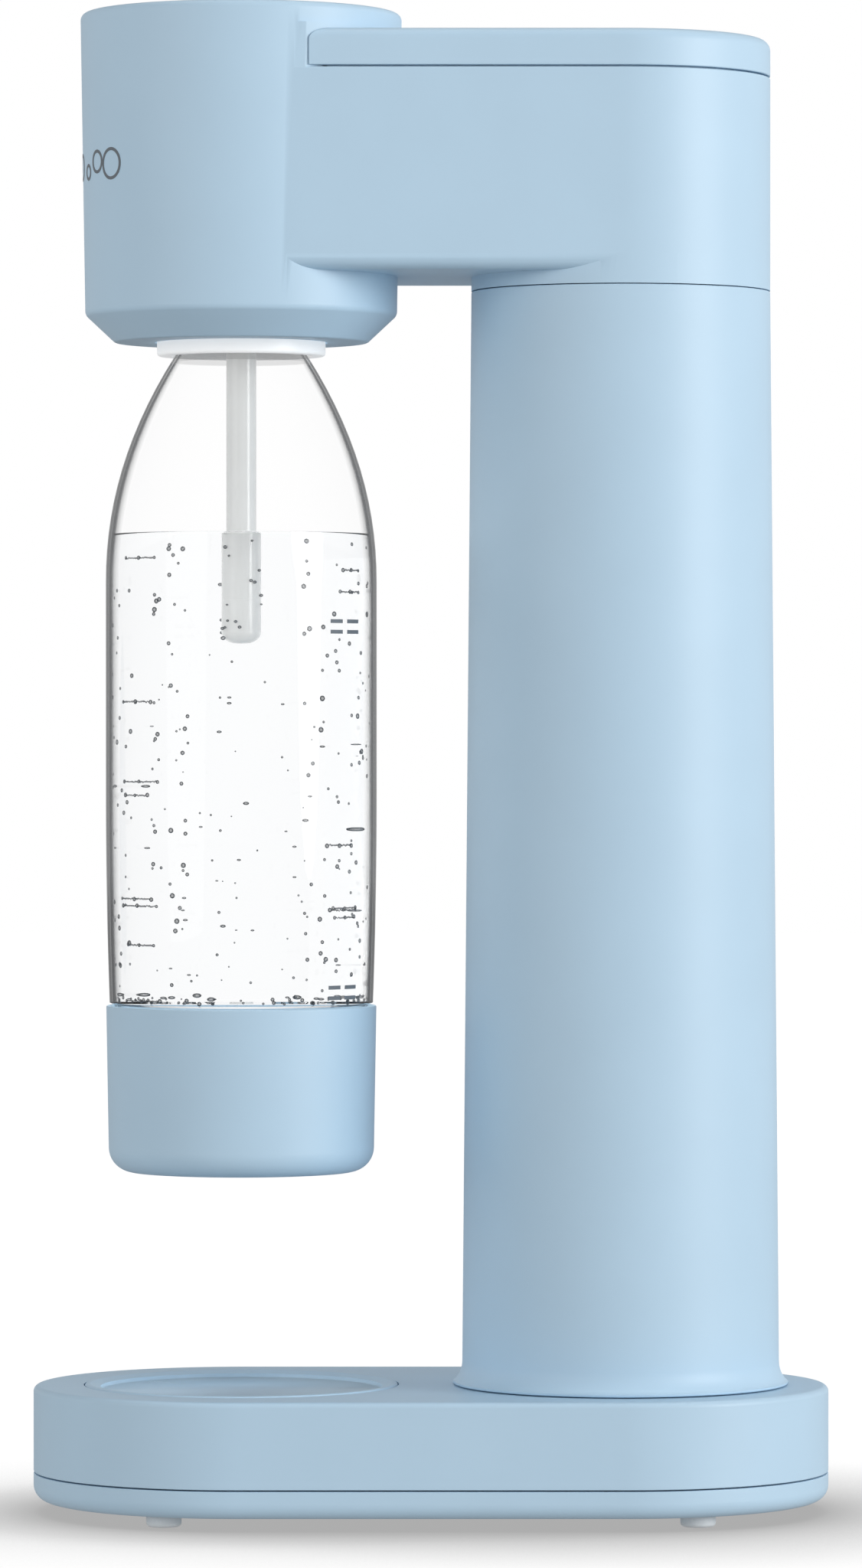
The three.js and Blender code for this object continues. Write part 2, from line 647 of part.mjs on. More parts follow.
function innerFrame() {
  const plateZ = FRAME_PLATE_TOP_Z - FRAME_PLATE;
  const plateRadius = COLUMN_TOP_BORE - FRAME_PLATE_CLEARANCE;
  const neckHole = CYLINDER_NECK_RADIUS + FRAME_NECK_CLEARANCE;
  const tube = turned([
    [FRAME_BORE, FRAME_Z],
    [FRAME_FLANGE_RADIUS, FRAME_Z],
    [FRAME_FLANGE_RADIUS, FRAME_Z + FRAME_FLANGE],
    [FRAME_RADIUS, FRAME_Z + FRAME_FLANGE],
    [FRAME_RADIUS, plateZ],
    [plateRadius, plateZ],
    [plateRadius, FRAME_PLATE_TOP_Z],
    [neckHole, FRAME_PLATE_TOP_Z],
    [neckHole, plateZ],
    [FRAME_BORE, plateZ],
  ], MEDIUM);
  const footBossTop = FRAME_Z + BOSS_DEPTH;
  const footBosses = upright(FRAME_FOOT_SCREWS, BOSS_RADIUS, FRAME_Z, footBossTop);
  const topBosses = upright(FRAME_SCREWS, BOSS_RADIUS, plateZ, ARM_Z - FIT);
  const bore = drum(FRAME_BORE, FRAME_Z - OVERSHOOT, plateZ, MEDIUM);
  return cut(joined([tube, ...footBosses, ...topBosses]), [
    bore,
    ...upright(FRAME_FOOT_SCREWS, SCREW_HOLE, FRAME_Z - OVERSHOOT, footBossTop - WALL),
    ...upright(FRAME_SCREWS, SCREW_HOLE, FRAME_PLATE_TOP_Z - 1, ARM_Z),
  ]);
}

// ---- Gas cylinder and valve ------------------------------------------------------------------------

function gasCylinder() {
  const shoulderZ = CYLINDER_TOP_Z - CYLINDER_NECK - CYLINDER_SHOULDER;
  const bore = CYLINDER_RADIUS - CYLINDER_WALL;
  const neckBore = VALVE_STEM_RADIUS + FIT;
  const floor = CYLINDER_RAISED + CYLINDER_WALL;
  return turned([
    [0, CYLINDER_RAISED],
    ...arc(CYLINDER_RADIUS - CYLINDER_CORNER, CYLINDER_RAISED + CYLINDER_CORNER, CYLINDER_CORNER, -90, 0, 2),
    ...dome(CYLINDER_RADIUS, CYLINDER_NECK_RADIUS, shoulderZ, CYLINDER_SHOULDER),
    [CYLINDER_NECK_RADIUS, CYLINDER_TOP_Z],
    [neckBore, CYLINDER_TOP_Z],
    ...dome(bore, neckBore, shoulderZ, CYLINDER_SHOULDER - CYLINDER_WALL).reverse(),
    [bore, floor + CYLINDER_CORNER],
    [bore - CYLINDER_CORNER, floor],
    [0, floor],
  ], MEDIUM);
}

// The curve of a cylinder's shoulder, from its body in to its neck
function dome(radius, neck, z, height) {
  const points = [];
  const steps = 5;
  for (let i = 0; i <= steps; i += 1) {
    const angle = i / steps * Math.PI / 2;
    points.push([neck + (radius - neck) * Math.cos(angle), z + height * Math.sin(angle)]);
  }
  return points;
}

function cylinderValve() {
  return turned([
    [VALVE_BORE, CYLINDER_TOP_Z - CYLINDER_NECK],
    [VALVE_STEM_RADIUS, CYLINDER_TOP_Z - CYLINDER_NECK],
    [VALVE_STEM_RADIUS, VALVE_COLLAR_Z],
    [VALVE_COLLAR_RADIUS, VALVE_COLLAR_Z],
    [VALVE_COLLAR_RADIUS, VALVE_COLLAR_TOP_Z],
    [VALVE_THREAD_RADIUS, VALVE_COLLAR_TOP_Z],
    [VALVE_THREAD_RADIUS, VALVE_TOP_Z],
    [VALVE_BORE, VALVE_TOP_Z],
  ], MEDIUM);
}

function valvePin() {
  return drum(PIN_RADIUS, VALVE_TOP_Z - PIN_LENGTH, VALVE_TOP_Z - FIT, COARSE);
}

// ---- Gas head, plunger and hose ------------------------------------------------------------------------

const GLAND_DEPTH = 2.6;
const GLAND_WIDTH = 2.4;
const O_RING_RADIUS = 0.85;
const GLAND_Z = GAS_HEAD_TOP_Z - GLAND_DEPTH - GLAND_WIDTH;
const PLUNGER_BORE = PLUNGER_RADIUS + FIT;

function gasHead() {
  const socketBore = VALVE_THREAD_RADIUS + FIT;
  const body = turned([
    [socketBore, SOCKET_Z],
    [SOCKET_RADIUS, SOCKET_Z],
    [SOCKET_RADIUS, GAS_HEAD_Z],
    [GAS_HEAD_FLANGE_RADIUS, GAS_HEAD_Z],
    [GAS_HEAD_FLANGE_RADIUS, GAS_BLOCK_Z],
    [GAS_HEAD_RADIUS, GAS_BLOCK_Z],
    [GAS_HEAD_RADIUS, GAS_HEAD_TOP_Z],
    [PLUNGER_BORE, GAS_HEAD_TOP_Z],
    [PLUNGER_BORE, GLAND_Z + GLAND_WIDTH],
    [PLUNGER_BORE + GLAND_WIDTH, GLAND_Z + GLAND_WIDTH],
    [PLUNGER_BORE + GLAND_WIDTH, GLAND_Z],
    [PLUNGER_BORE, GLAND_Z],
    [PLUNGER_BORE, SOCKET_TOP_Z],
    [socketBore, SOCKET_TOP_Z],
  ], MEDIUM);
  const spigotEnd = -(GAS_HEAD_RADIUS + OUTLET_LENGTH);
  const spigotRoot = OUTLET_OVERLAP - GAS_HEAD_RADIUS;
  const spigot = turnedAlongY([
    [0, spigotEnd],
    [OUTLET_RADIUS, spigotEnd],
    [OUTLET_RADIUS, spigotRoot],
    [0, spigotRoot],
  ], OUTLET_Z);
  const passage = turnedAlongY([
    [0, spigotEnd - OVERSHOOT],
    [GAS_BORE, spigotEnd - OVERSHOOT],
    [GAS_BORE, 0],
    [0, 0],
  ], OUTLET_Z);
  const flangeHoles = upright(GAS_HEAD_SCREWS, SCREW_HOLE, GAS_HEAD_Z - OVERSHOOT, GAS_BLOCK_Z + OVERSHOOT);
  const headRoom = upright(GAS_HEAD_SCREWS, SCREW_SINK, GAS_BLOCK_Z, GAS_BLOCK_Z + SCREW_HEAD + FIT + FIT);
  return cut(joined([body, spigot]), [passage, ...flangeHoles, ...headRoom]);
}

function gasHeadSeal() {
  return sleeve(PLUNGER_BORE + 1, VALVE_THREAD_RADIUS - 0.4, GAS_SEAL_Z, GAS_SEAL_Z + SEAL_THICKNESS, 24);
}

function plunger() {
  const capZ = PLUNGER_TOP_Z - PLUNGER_CAP;
  return turned([
    [0, VALVE_TOP_Z],
    [PIN_RADIUS, VALVE_TOP_Z],
    [PIN_RADIUS, VALVE_TOP_Z + PLUNGER_NOSE],
    [PLUNGER_RADIUS, VALVE_TOP_Z + PLUNGER_NOSE],
    [PLUNGER_RADIUS, capZ],
    [PLUNGER_CAP_RADIUS, capZ],
    [PLUNGER_CAP_RADIUS, PLUNGER_TOP_Z - PLUNGER_EDGE],
    [PLUNGER_CAP_RADIUS - PLUNGER_EDGE, PLUNGER_TOP_Z],
    [0, PLUNGER_TOP_Z],
  ], COARSE);
}

function plungerSeal() {
  const middle = PLUNGER_RADIUS + O_RING_RADIUS + FIT;
  const ring = arc(middle, GLAND_Z + GLAND_WIDTH / 2, O_RING_RADIUS, 0, 315, 7);
  return turned(ring, COARSE);
}

function plungerSpring() {
  const top = PLUNGER_TOP_Z - PLUNGER_CAP - FIT;
  return spring(PLUNGER_RADIUS + 2, 0.5, GAS_HEAD_TOP_Z + FIT, top, 4);
}

// A union nut for a hose end: it meets its spigot at y = 0 and takes the hose at its far end
function hoseFitting() {
  const bore = HOSE_RADIUS + FIT;
  return turnedAlongY([
    [GAS_BORE, 0],
    [FITTING_RADIUS, 0],
    [FITTING_RADIUS, FITTING_LENGTH],
    [bore, FITTING_LENGTH],
    [bore, FITTING_WEB],
    [GAS_BORE, FITTING_WEB],
  ], 0);
}

const OUTLET_Y = COLUMN_Y - GAS_HEAD_RADIUS - OUTLET_LENGTH - FIT;
const INLET_Y = HEAD_Y + MIXER_HUB_RADIUS + INLET_LENGTH + FIT;

function gasHose() {
  const seat = FITTING_WEB + FIT;
  const rear = OUTLET_Y - seat;
  const front = INLET_Y + seat;
  const straight = FITTING_LENGTH;
  const middleY = (rear + front) / 2;
  const middleZ = (OUTLET_Z + INLET_Z) / 2;
  const curve = new THREE.CatmullRomCurve3([
    new THREE.Vector3(0, rear, OUTLET_Z),
    new THREE.Vector3(0, rear - straight, OUTLET_Z),
    new THREE.Vector3(-HOSE_SIDESTEP, middleY, middleZ),
    new THREE.Vector3(0, front + straight, INLET_Z),
    new THREE.Vector3(0, front, INLET_Z),
  ]);
  return sweep(curve, HOSE_RADIUS, 16, 4);
}

// ---- Lever -----------------------------------------------------------------------------------------

const EAR_INNER_X = LEVER_HALF_WIDTH + LEVER_SIDE_GAP;
const EAR_OUTER_X = EAR_INNER_X + BRACKET_EAR;

// A cylinder along X through y, z
function barAcross(radius, halfLength, y, z, segments = COARSE) {
  const geometry = new THREE.CylinderGeometry(radius, radius, 2 * halfLength, segments);
  geometry.rotateZ(-Math.PI / 2);
  geometry.translate(0, y, z);
  return solidOf(geometry);
}

function lever() {
  const nose = HEAD_Y - LEVER_NOSE;
  const bar = acrossX([
    [nose, LEVER_Z + LEVER_EDGE],
    [nose + LEVER_EDGE, LEVER_Z],
    [COLUMN_Y - LEVER_PAD_LENGTH / 2, LEVER_Z],
    [COLUMN_Y - LEVER_PAD_LENGTH / 4, LEVER_Z - LEVER_PAD],
    [COLUMN_Y + LEVER_PAD_LENGTH / 4, LEVER_Z - LEVER_PAD],
    [COLUMN_Y + LEVER_PAD_LENGTH / 2, LEVER_Z],
    [PIVOT_Y, LEVER_Z],
    [PIVOT_Y, LEVER_TOP_Z],
    [nose + LEVER_EDGE, LEVER_TOP_Z],
    [nose, LEVER_TOP_Z - LEVER_EDGE],
  ], LEVER_HALF_WIDTH);
  const eye = barAcross(LEVER_BOSS_RADIUS, LEVER_HALF_WIDTH, PIVOT_Y, PIVOT_Z);
  const bore = barAcross(PIVOT_PIN_RADIUS + FIT, LEVER_HALF_WIDTH + OVERSHOOT, PIVOT_Y, PIVOT_Z);
  return cut(joined([bar, eye]), [bore]);
}

function leverPin() {
  return barAcross(PIVOT_PIN_RADIUS, EAR_OUTER_X + PIN_PROUD, PIVOT_Y, PIVOT_Z);
}

function leverBracket() {
  const footZ = ARM_FLOOR_Z + FIT;
  const earTop = PIVOT_Z + LEVER_BOSS_RADIUS;
  const earY = [PIVOT_Y - BRACKET_EAR_LENGTH / 2, PIVOT_Y + BRACKET_EAR_LENGTH / 2];
  const footY = [PIVOT_Y - BRACKET_FOOT_LENGTH / 2, PIVOT_Y + BRACKET_FOOT_LENGTH / 2];
  const foot = block([-BRACKET_HALF_WIDTH, BRACKET_HALF_WIDTH], footY, [footZ, footZ + BRACKET_FOOT]);
  const ears = [-1, 1].map((side) => {
    const x = [side * EAR_INNER_X, side * EAR_OUTER_X].sort((a, b) => a - b);
    return block(x, earY, [footZ + BRACKET_FOOT - 1, earTop]);
  });
  const bore = barAcross(PIVOT_PIN_RADIUS + FIT, EAR_OUTER_X + OVERSHOOT, PIVOT_Y, PIVOT_Z);
  const footTop = footZ + BRACKET_FOOT;
  const screwHoles = upright(BRACKET_SCREWS, SCREW_HOLE, footZ - OVERSHOOT, footTop + 1, PIVOT_Y);
  return cut(joined([foot, ...ears]), [bore, ...screwHoles]);
}

// ---- Upper housing: arm, head and neck in one moulding ---------------------------------------------

function headOutline() {
  const low = HEAD_RADIUS - HEAD_TAPER;
  return [
    [0, HEAD_Z],
    [low - CHAMFER_RUN, HEAD_Z],
    [low - CHAMFER_BLEND, HEAD_Z + CHAMFER_RISE - CHAMFER_BLEND],
    [low, HEAD_Z + CHAMFER_RISE + CHAMFER_BLEND],
    ...arc(HEAD_RADIUS - HEAD_EDGE, HEAD_TOP_Z - HEAD_EDGE, HEAD_EDGE, 0, 90),
    [0, HEAD_TOP_Z],
  ];
}

// The head's hollow, with the ring's opening below and the button's well above
function headCavity() {
  const low = HEAD_RADIUS - HEAD_TAPER - WALL;
  const ringHole = RING_RADIUS + FIT + FIT;
  const floor = HEAD_Z + WALL;
  const rim = HEAD_TOP_Z - RIM_THICKNESS;
  return turned([
    [0, HEAD_Z - OVERSHOOT],
    [ringHole, HEAD_Z - OVERSHOOT],
    [ringHole, floor],
    [low - CHAMFER_RUN, floor],
    [low, floor + CHAMFER_RISE],
    [HEAD_RADIUS - WALL, rim],
    [WELL_RADIUS, rim],
    [WELL_RADIUS, HEAD_TOP_Z + OVERSHOOT],
    [0, HEAD_TOP_Z + OVERSHOOT],
  ], FINE, 0, HEAD_Y);
}

function armCavity() {
  const hollow = stadium([
    [0, ARM_FLOOR_Z],
    ...arc(ARM_BORE - ARM_EDGE + WALL, ARM_FLOOR_Z + ARM_EDGE - WALL, ARM_EDGE - WALL, -90, 0, 2),
    [ARM_BORE, ARM_TOP_Z + OVERSHOOT],
    [0, ARM_TOP_Z + OVERSHOOT],
  ]);
  return hollow.subtract(drum(HEAD_RADIUS, HEAD_Z, HEAD_TOP_Z, FINE, 0, HEAD_Y));
}

// A raised step round the back of the head, which the lid's front edge follows
function headCollar() {
  const step = drum(HEAD_RADIUS + COLLAR_WIDTH, ARM_Z + ARM_EDGE, LID_TOP_Z + COLLAR_RISE, FINE, 0, HEAD_Y);
  const behind = block(
    [-COLUMN_TOP_RADIUS, COLUMN_TOP_RADIUS],
    [HEAD_Y, COLUMN_Y],
    [ARM_Z, HEAD_TOP_Z],
  );
  return step.intersect(behind);
}

// Screw lugs that reach in from the head's wall
function lugs(places, inner, top) {
  const outer = HEAD_RADIUS - HEAD_TAPER - 1;
  return places.map(([x, y]) => {
    const angle = Math.atan2(y, x);
    const geometry = new THREE.BoxGeometry(outer - inner, LUG_WIDTH, LUG_HEIGHT);
    geometry.translate((outer + inner) / 2, 0, top - LUG_HEIGHT / 2);
    geometry.rotateZ(angle);
    geometry.translate(0, HEAD_Y, 0);
    return solidOf(geometry);
  });
}

function upperHousing() {
  const head = turned(headOutline(), FINE, 0, HEAD_Y);
  const arm = stadium([
    [0, ARM_Z],
    ...arc(COLUMN_TOP_RADIUS - ARM_EDGE, ARM_Z + ARM_EDGE, ARM_EDGE, -90, 0),
    [COLUMN_TOP_RADIUS, ARM_TOP_Z],
    [0, ARM_TOP_Z],
  ]);
  const neck = drum(COLUMN_TOP_RADIUS, NECK_Z, ARM_Z + ARM_EDGE, FINE, 0, COLUMN_Y);
  const neckHollow = drum(COLUMN_TOP_BORE, NECK_Z - OVERSHOOT, ARM_Z, FINE, 0, COLUMN_Y);
  const windowY = [HEAD_Y + HEAD_RADIUS / 2, HEAD_Y + HEAD_RADIUS + OVERSHOOT];
  const windowX = [-WINDOW_HALF_WIDTH, WINDOW_HALF_WIDTH];
  const leverWindow = block(windowX, windowY, [ARM_FLOOR_Z + OVERSHOOT, ARM_TOP_Z - WALL]);
  const hollows = [headCavity(), armCavity(), neckHollow, leverWindow];
  const shell = cut(joined([head, arm, neck, headCollar()]), hollows);

  const mixerSeat = MIXER_Z - FIT;
  const guideSeat = GUIDE_Z - FIT;
  const bossZ = ARM_Z - 7.4;
  const bosses = [
    ...upright(GAS_HEAD_SCREWS, BOSS_RADIUS, bossZ, ARM_FLOOR_Z - 1, COLUMN_Y),
    ...upright(BRACKET_SCREWS, BOSS_RADIUS, bossZ, ARM_FLOOR_Z - 1, PIVOT_Y),
  ];
  const additions = [
    ...lugs(MIXER_SCREWS, MIXER_SKIRT_RADIUS + 1, mixerSeat),
    ...lugs(GUIDE_SCREWS, GUIDE_SCREWS[1][0] - LUG_WIDTH / 2, guideSeat),
    ...bosses,
  ];
  const floorTop = ARM_FLOOR_Z + OVERSHOOT;
  return cut(joined([shell, ...additions]), [
    drum(SOCKET_RADIUS + FIT, NECK_Z, floorTop, MEDIUM, 0, COLUMN_Y),
    ...upright(FRAME_SCREWS, SCREW_HOLE, NECK_Z, floorTop, COLUMN_Y),
    ...upright(GAS_HEAD_SCREWS, SCREW_HOLE, bossZ + 1, floorTop, COLUMN_Y),
    ...upright(BRACKET_SCREWS, SCREW_HOLE, bossZ + 1, floorTop, PIVOT_Y),
    ...upright(MIXER_SCREWS, SCREW_HOLE, mixerSeat - LUG_HEIGHT + WALL, mixerSeat + 1, HEAD_Y),
    ...upright(GUIDE_SCREWS, SCREW_HOLE, guideSeat - LUG_HEIGHT + WALL, guideSeat + 1, HEAD_Y),
  ]);
}

function armLid() {
  const frontCut = HEAD_RADIUS + COLLAR_WIDTH + SEAM;
  const outer = stadium([
    [0, LID_Z],
    [COLUMN_TOP_RADIUS, LID_Z],
    ...arc(COLUMN_TOP_RADIUS - LID_EDGE, LID_TOP_Z - LID_EDGE, LID_EDGE, 0, 90),
    [0, LID_TOP_Z],
  ]);
  const skirtRadius = ARM_BORE - FIT;
  const skirtZ = LID_Z - LID_SKIRT_DEPTH;
  const skirt = stadium([[0, skirtZ], [skirtRadius, skirtZ], [skirtRadius, LID_Z + 1], [0, LID_Z + 1]]);
  const body = cut(joined([outer, skirt]), [drum(frontCut, skirtZ - 1, HEAD_TOP_Z, FINE, 0, HEAD_Y)]);
  const hollowRadius = skirtRadius - LID_SKIRT_WALL;
  const hollowTop = LID_TOP_Z - WALL;
  const hollow = stadium([
    [0, skirtZ - 1],
    [hollowRadius, skirtZ - 1],
    [hollowRadius, hollowTop],
    [0, hollowTop],
  ]);
  const frontWall = drum(frontCut + WALL, skirtZ - 1, HEAD_TOP_Z, FINE, 0, HEAD_Y);
  return body.subtract(hollow.subtract(frontWall));
}

// ---- Press button and guide -------------------------------------------------------------------------

function pressButton() {
  const capZ = BUTTON_TOP_Z - BUTTON_CAP;
  const skirtZ = BUTTON_TOP_Z - BUTTON_SKIRT;
  const skirtBore = BUTTON_RADIUS - BUTTON_WALL;
  const stemZ = LEVER_TOP_Z + FIT;
  return turned([
    [0, stemZ],
    [BUTTON_STEM_RADIUS - BUTTON_STEM_EDGE, stemZ],
    [BUTTON_STEM_RADIUS, stemZ + BUTTON_STEM_EDGE],
    [BUTTON_STEM_RADIUS, capZ],
    [skirtBore, capZ],
    [skirtBore, skirtZ],
    [BUTTON_RADIUS, skirtZ],
    [BUTTON_RADIUS, BUTTON_TOP_Z - BUTTON_EDGE],
    [BUTTON_RADIUS - BUTTON_EDGE, BUTTON_TOP_Z],
    [BUTTON_RADIUS / 2, BUTTON_TOP_Z - BUTTON_DISH / 2],
    [0, BUTTON_TOP_Z - BUTTON_DISH],
  ], FINE);
}

function buttonGuide() {
  const wallRadius = GUIDE_BORE + GUIDE_WALL;
  const flangeRadius = WELL_RADIUS - FIT;
  const flangeTop = HEAD_TOP_Z - GUIDE_SUNK;
  const flangeZ = flangeTop - BUTTON_WALL;
  const cup = turned([
    [BUTTON_HOLE, GUIDE_Z],
    [wallRadius, GUIDE_Z],
    [wallRadius, flangeZ],
    [flangeRadius, flangeZ],
    [flangeRadius, flangeTop],
    [GUIDE_BORE, flangeTop],
    [GUIDE_BORE, GUIDE_Z + GUIDE_FLOOR],
    [BUTTON_HOLE, GUIDE_Z + GUIDE_FLOOR],
  ], FINE);
  return cut(cup, upright(GUIDE_SCREWS, SCREW_HOLE, GUIDE_Z - 1, GUIDE_Z + GUIDE_FLOOR + 1));
}

function buttonSpring() {
  const top = BUTTON_TOP_Z - BUTTON_CAP - FIT;
  return spring(BUTTON_HOLE + 2, 0.8, GUIDE_Z + GUIDE_FLOOR + FIT, top, 5);
}

// ---- Mixing head, nozzle and relief valve ---------------------------------------------------------------

function mixingHead() {
  const hubTop = MIXER_TOP_Z + MIXER_HUB;
  const skirtZ = RING_TOP_Z + FIT;
  const body = turned([
    [MIXER_BORE, MIXER_Z],
    [MIXER_SKIRT_BORE, MIXER_Z],
    [MIXER_SKIRT_BORE, skirtZ],
    [MIXER_SKIRT_RADIUS, skirtZ],
    [MIXER_SKIRT_RADIUS, MIXER_Z],
    [MIXER_FLANGE_RADIUS, MIXER_Z],
    [MIXER_FLANGE_RADIUS, MIXER_TOP_Z],
    [MIXER_HUB_RADIUS, MIXER_TOP_Z],
    [MIXER_HUB_RADIUS, hubTop],
    [0, hubTop],
    [0, hubTop - MIXER_ROOF],
    [MIXER_BORE, hubTop - MIXER_ROOF],
  ], MEDIUM);
  const inletEnd = MIXER_HUB_RADIUS + INLET_LENGTH;
  const inletRoot = MIXER_HUB_RADIUS - INLET_OVERLAP;
  const spigot = turnedAlongY([
    [0, inletRoot],
    [INLET_RADIUS, inletRoot],
    [INLET_RADIUS, inletEnd],
    [0, inletEnd],
  ], INLET_Z);
  const passage = turnedAlongY([
    [0, MIXER_BORE - 1],
    [GAS_BORE, MIXER_BORE - 1],
    [GAS_BORE, inletEnd + OVERSHOOT],
    [0, inletEnd + OVERSHOOT],
  ], INLET_Z);
  return cut(joined([body, spigot]), [
    passage,
    drum(GAS_BORE, MIXER_Z - 1, MIXER_TOP_Z + 1, COARSE, RELIEF_PORT_X, 0),
    ...upright(MIXER_SCREWS, SCREW_HOLE, MIXER_Z - 1, MIXER_TOP_Z + 1),
  ]);
}

function bottleSeal() {
  const radius = MIXER_SKIRT_BORE - FIT - FIT;
  return sleeve(BOTTLE_SEAL_BORE, radius, BOTTLE_SEAL_Z, BOTTLE_SEAL_Z + BOTTLE_SEAL_THICKNESS, 24);
}

const ADAPTER_TOP_Z = MIXER_Z + ADAPTER_STEM;
const ADAPTER_FLANGE_Z = MIXER_Z - FIT - ADAPTER_FLANGE;
const ADAPTER_Z = ADAPTER_FLANGE_Z - ADAPTER_SLEEVE;
const TUBE_TOP_Z = ADAPTER_FLANGE_Z - FIT;
const TUBE_Z = TUBE_TOP_Z - TUBE_LENGTH;

function nozzleAdapter() {
  const stemRadius = MIXER_BORE - FIT;
  const sleeveBore = TUBE_RADIUS + FIT;
  return turned([
    [sleeveBore, ADAPTER_Z],
    [ADAPTER_SLEEVE_RADIUS, ADAPTER_Z],
    [ADAPTER_SLEEVE_RADIUS, ADAPTER_FLANGE_Z],
    [ADAPTER_FLANGE_RADIUS, ADAPTER_FLANGE_Z],
    [ADAPTER_FLANGE_RADIUS, ADAPTER_FLANGE_Z + ADAPTER_FLANGE],
    [stemRadius, ADAPTER_FLANGE_Z + ADAPTER_FLANGE],
    [stemRadius, ADAPTER_TOP_Z],
    [GAS_BORE, ADAPTER_TOP_Z],
    [GAS_BORE, ADAPTER_FLANGE_Z],
    [sleeveBore, ADAPTER_FLANGE_Z],
  ], COARSE);
}

function nozzleTube() {
  return sleeve(TUBE_BORE, TUBE_RADIUS, TUBE_Z, TUBE_TOP_Z, COARSE);
}

function nozzleTip() {
  const top = TUBE_Z - FIT;
  const bottom = top - TIP_LENGTH;
  const spigot = TUBE_BORE - FIT;
  return turned([
    [TIP_BORE, bottom],
    ...arc(TUBE_RADIUS - TIP_EDGE, bottom + TIP_EDGE, TIP_EDGE, -90, 0, 2),
    [TUBE_RADIUS, top],
    [spigot, top],
    [spigot, top + TIP_SPIGOT],
    [TIP_BORE, top + TIP_SPIGOT],
  ], COARSE);
}

const RELIEF_Z = MIXER_TOP_Z + FIT;
const RELIEF_TOP_Z = RELIEF_Z + RELIEF_HEIGHT;
const POPPET_Z = RELIEF_Z + RELIEF_FLOOR + FIT;

function reliefBody() {
  const bowl = turned([
    [0, RELIEF_Z],
    [RELIEF_RADIUS, RELIEF_Z],
    [RELIEF_RADIUS, RELIEF_TOP_Z],
    [RELIEF_BORE, RELIEF_TOP_Z],
    [RELIEF_BORE, RELIEF_Z + RELIEF_FLOOR],
    [0, RELIEF_Z + RELIEF_FLOOR],
  ], COARSE);
  const portX = RELIEF_PORT_X - RELIEF_X;
  return cut(bowl, [drum(GAS_BORE, RELIEF_Z - 1, RELIEF_Z + RELIEF_FLOOR + 1, SCREW_SIDES, portX, 0)]);
}

function reliefPoppet() {
  return drum(POPPET_RADIUS, POPPET_Z, POPPET_Z + POPPET_HEIGHT, COARSE);
}

function reliefSpring() {
  const bottom = POPPET_Z + POPPET_HEIGHT + FIT;
  return spring(2.4, 0.35, bottom, RELIEF_TOP_Z - RELIEF_PLUG - FIT, 4);
}

function reliefCap() {
  const plugZ = RELIEF_TOP_Z - RELIEF_PLUG;
  const capZ = RELIEF_TOP_Z + FIT;
  return turned([
    [RELIEF_VENT, plugZ],
    [RELIEF_BORE - FIT, plugZ],
    [RELIEF_BORE - FIT, capZ],
    [RELIEF_RADIUS, capZ],
    [RELIEF_RADIUS, capZ + RELIEF_CAP],
    [RELIEF_VENT, capZ + RELIEF_CAP],
  ], COARSE);
}

// ---- Bottle, cup and lock ring ----------------------------------------------------------------------

function lockRing() {
  return turned([
    [RING_MOUTH_RADIUS, RING_Z],
    [RING_RADIUS - RING_EDGE, RING_Z],
    [RING_RADIUS, RING_Z + RING_EDGE],
    [RING_RADIUS, RING_SEAT_Z],
    [RING_FLANGE_RADIUS, RING_SEAT_Z],
    [RING_FLANGE_RADIUS, RING_TOP_Z],
    [RING_THROAT_RADIUS, RING_TOP_Z],
    [RING_THROAT_RADIUS, RING_SEAT_Z - 1],
    [RING_MOUTH_RADIUS, RING_Z + RING_EDGE],
  ], MEDIUM);
}

// Half-width of the bottle at a height: a parabola at the shoulder and a slight taper below
function bottleRadius(z) {
  const taperTop = (SHOULDER_Z + CUP_TOP_Z) / 2;
  if (z >= SHOULDER_Z) {
    const rise = (z - SHOULDER_Z) / SHOULDER_HEIGHT;
    return BOTTLE_RADIUS - (BOTTLE_RADIUS - SHOULDER_TOP_RADIUS) * rise ** 2.08;
  }
  if (z >= taperTop) return BOTTLE_RADIUS;
  const fall = (taperTop - z) / (taperTop - CUP_TOP_Z);
  return BOTTLE_RADIUS - (BOTTLE_RADIUS - BOTTLE_CUP_TOP_RADIUS) * fall;
}

// The bottle's outline above its cup, moved in by a wall
function bottleSide(inset) {
  const points = [];
  const bodySteps = 2;
  const shoulderSteps = 6;
  const bodyZ = CUP_TOP_Z + 3 * FIT;
  for (let i = 0; i < bodySteps; i += 1) {
    const z = bodyZ + (SHOULDER_Z - bodyZ) * i / bodySteps;
    points.push([bottleRadius(z) - inset, z]);
  }
  for (let i = 0; i <= shoulderSteps; i += 1) {
    const z = SHOULDER_Z + SHOULDER_HEIGHT * i / shoulderSteps;
    points.push([bottleRadius(z) - inset, z]);
  }
  return points;
}

// The bottle's base inside its cup, moved in by a wall
function bottleBase(inset) {
  const radius = CUP_RADIUS - CUP_WALL - FIT - 0.4;
  const corner = CUP_CORNER;
  return [
    [0, BOTTLE_Z + BOTTLE_PUSH_UP + inset],
    [radius / 2, BOTTLE_Z + BOTTLE_PUSH_UP / 2 + inset],
    ...arc(radius - corner, BOTTLE_Z + corner, corner - inset, -90, 0, 2),
    [radius - inset, CUP_TOP_Z + FIT],
  ];
}

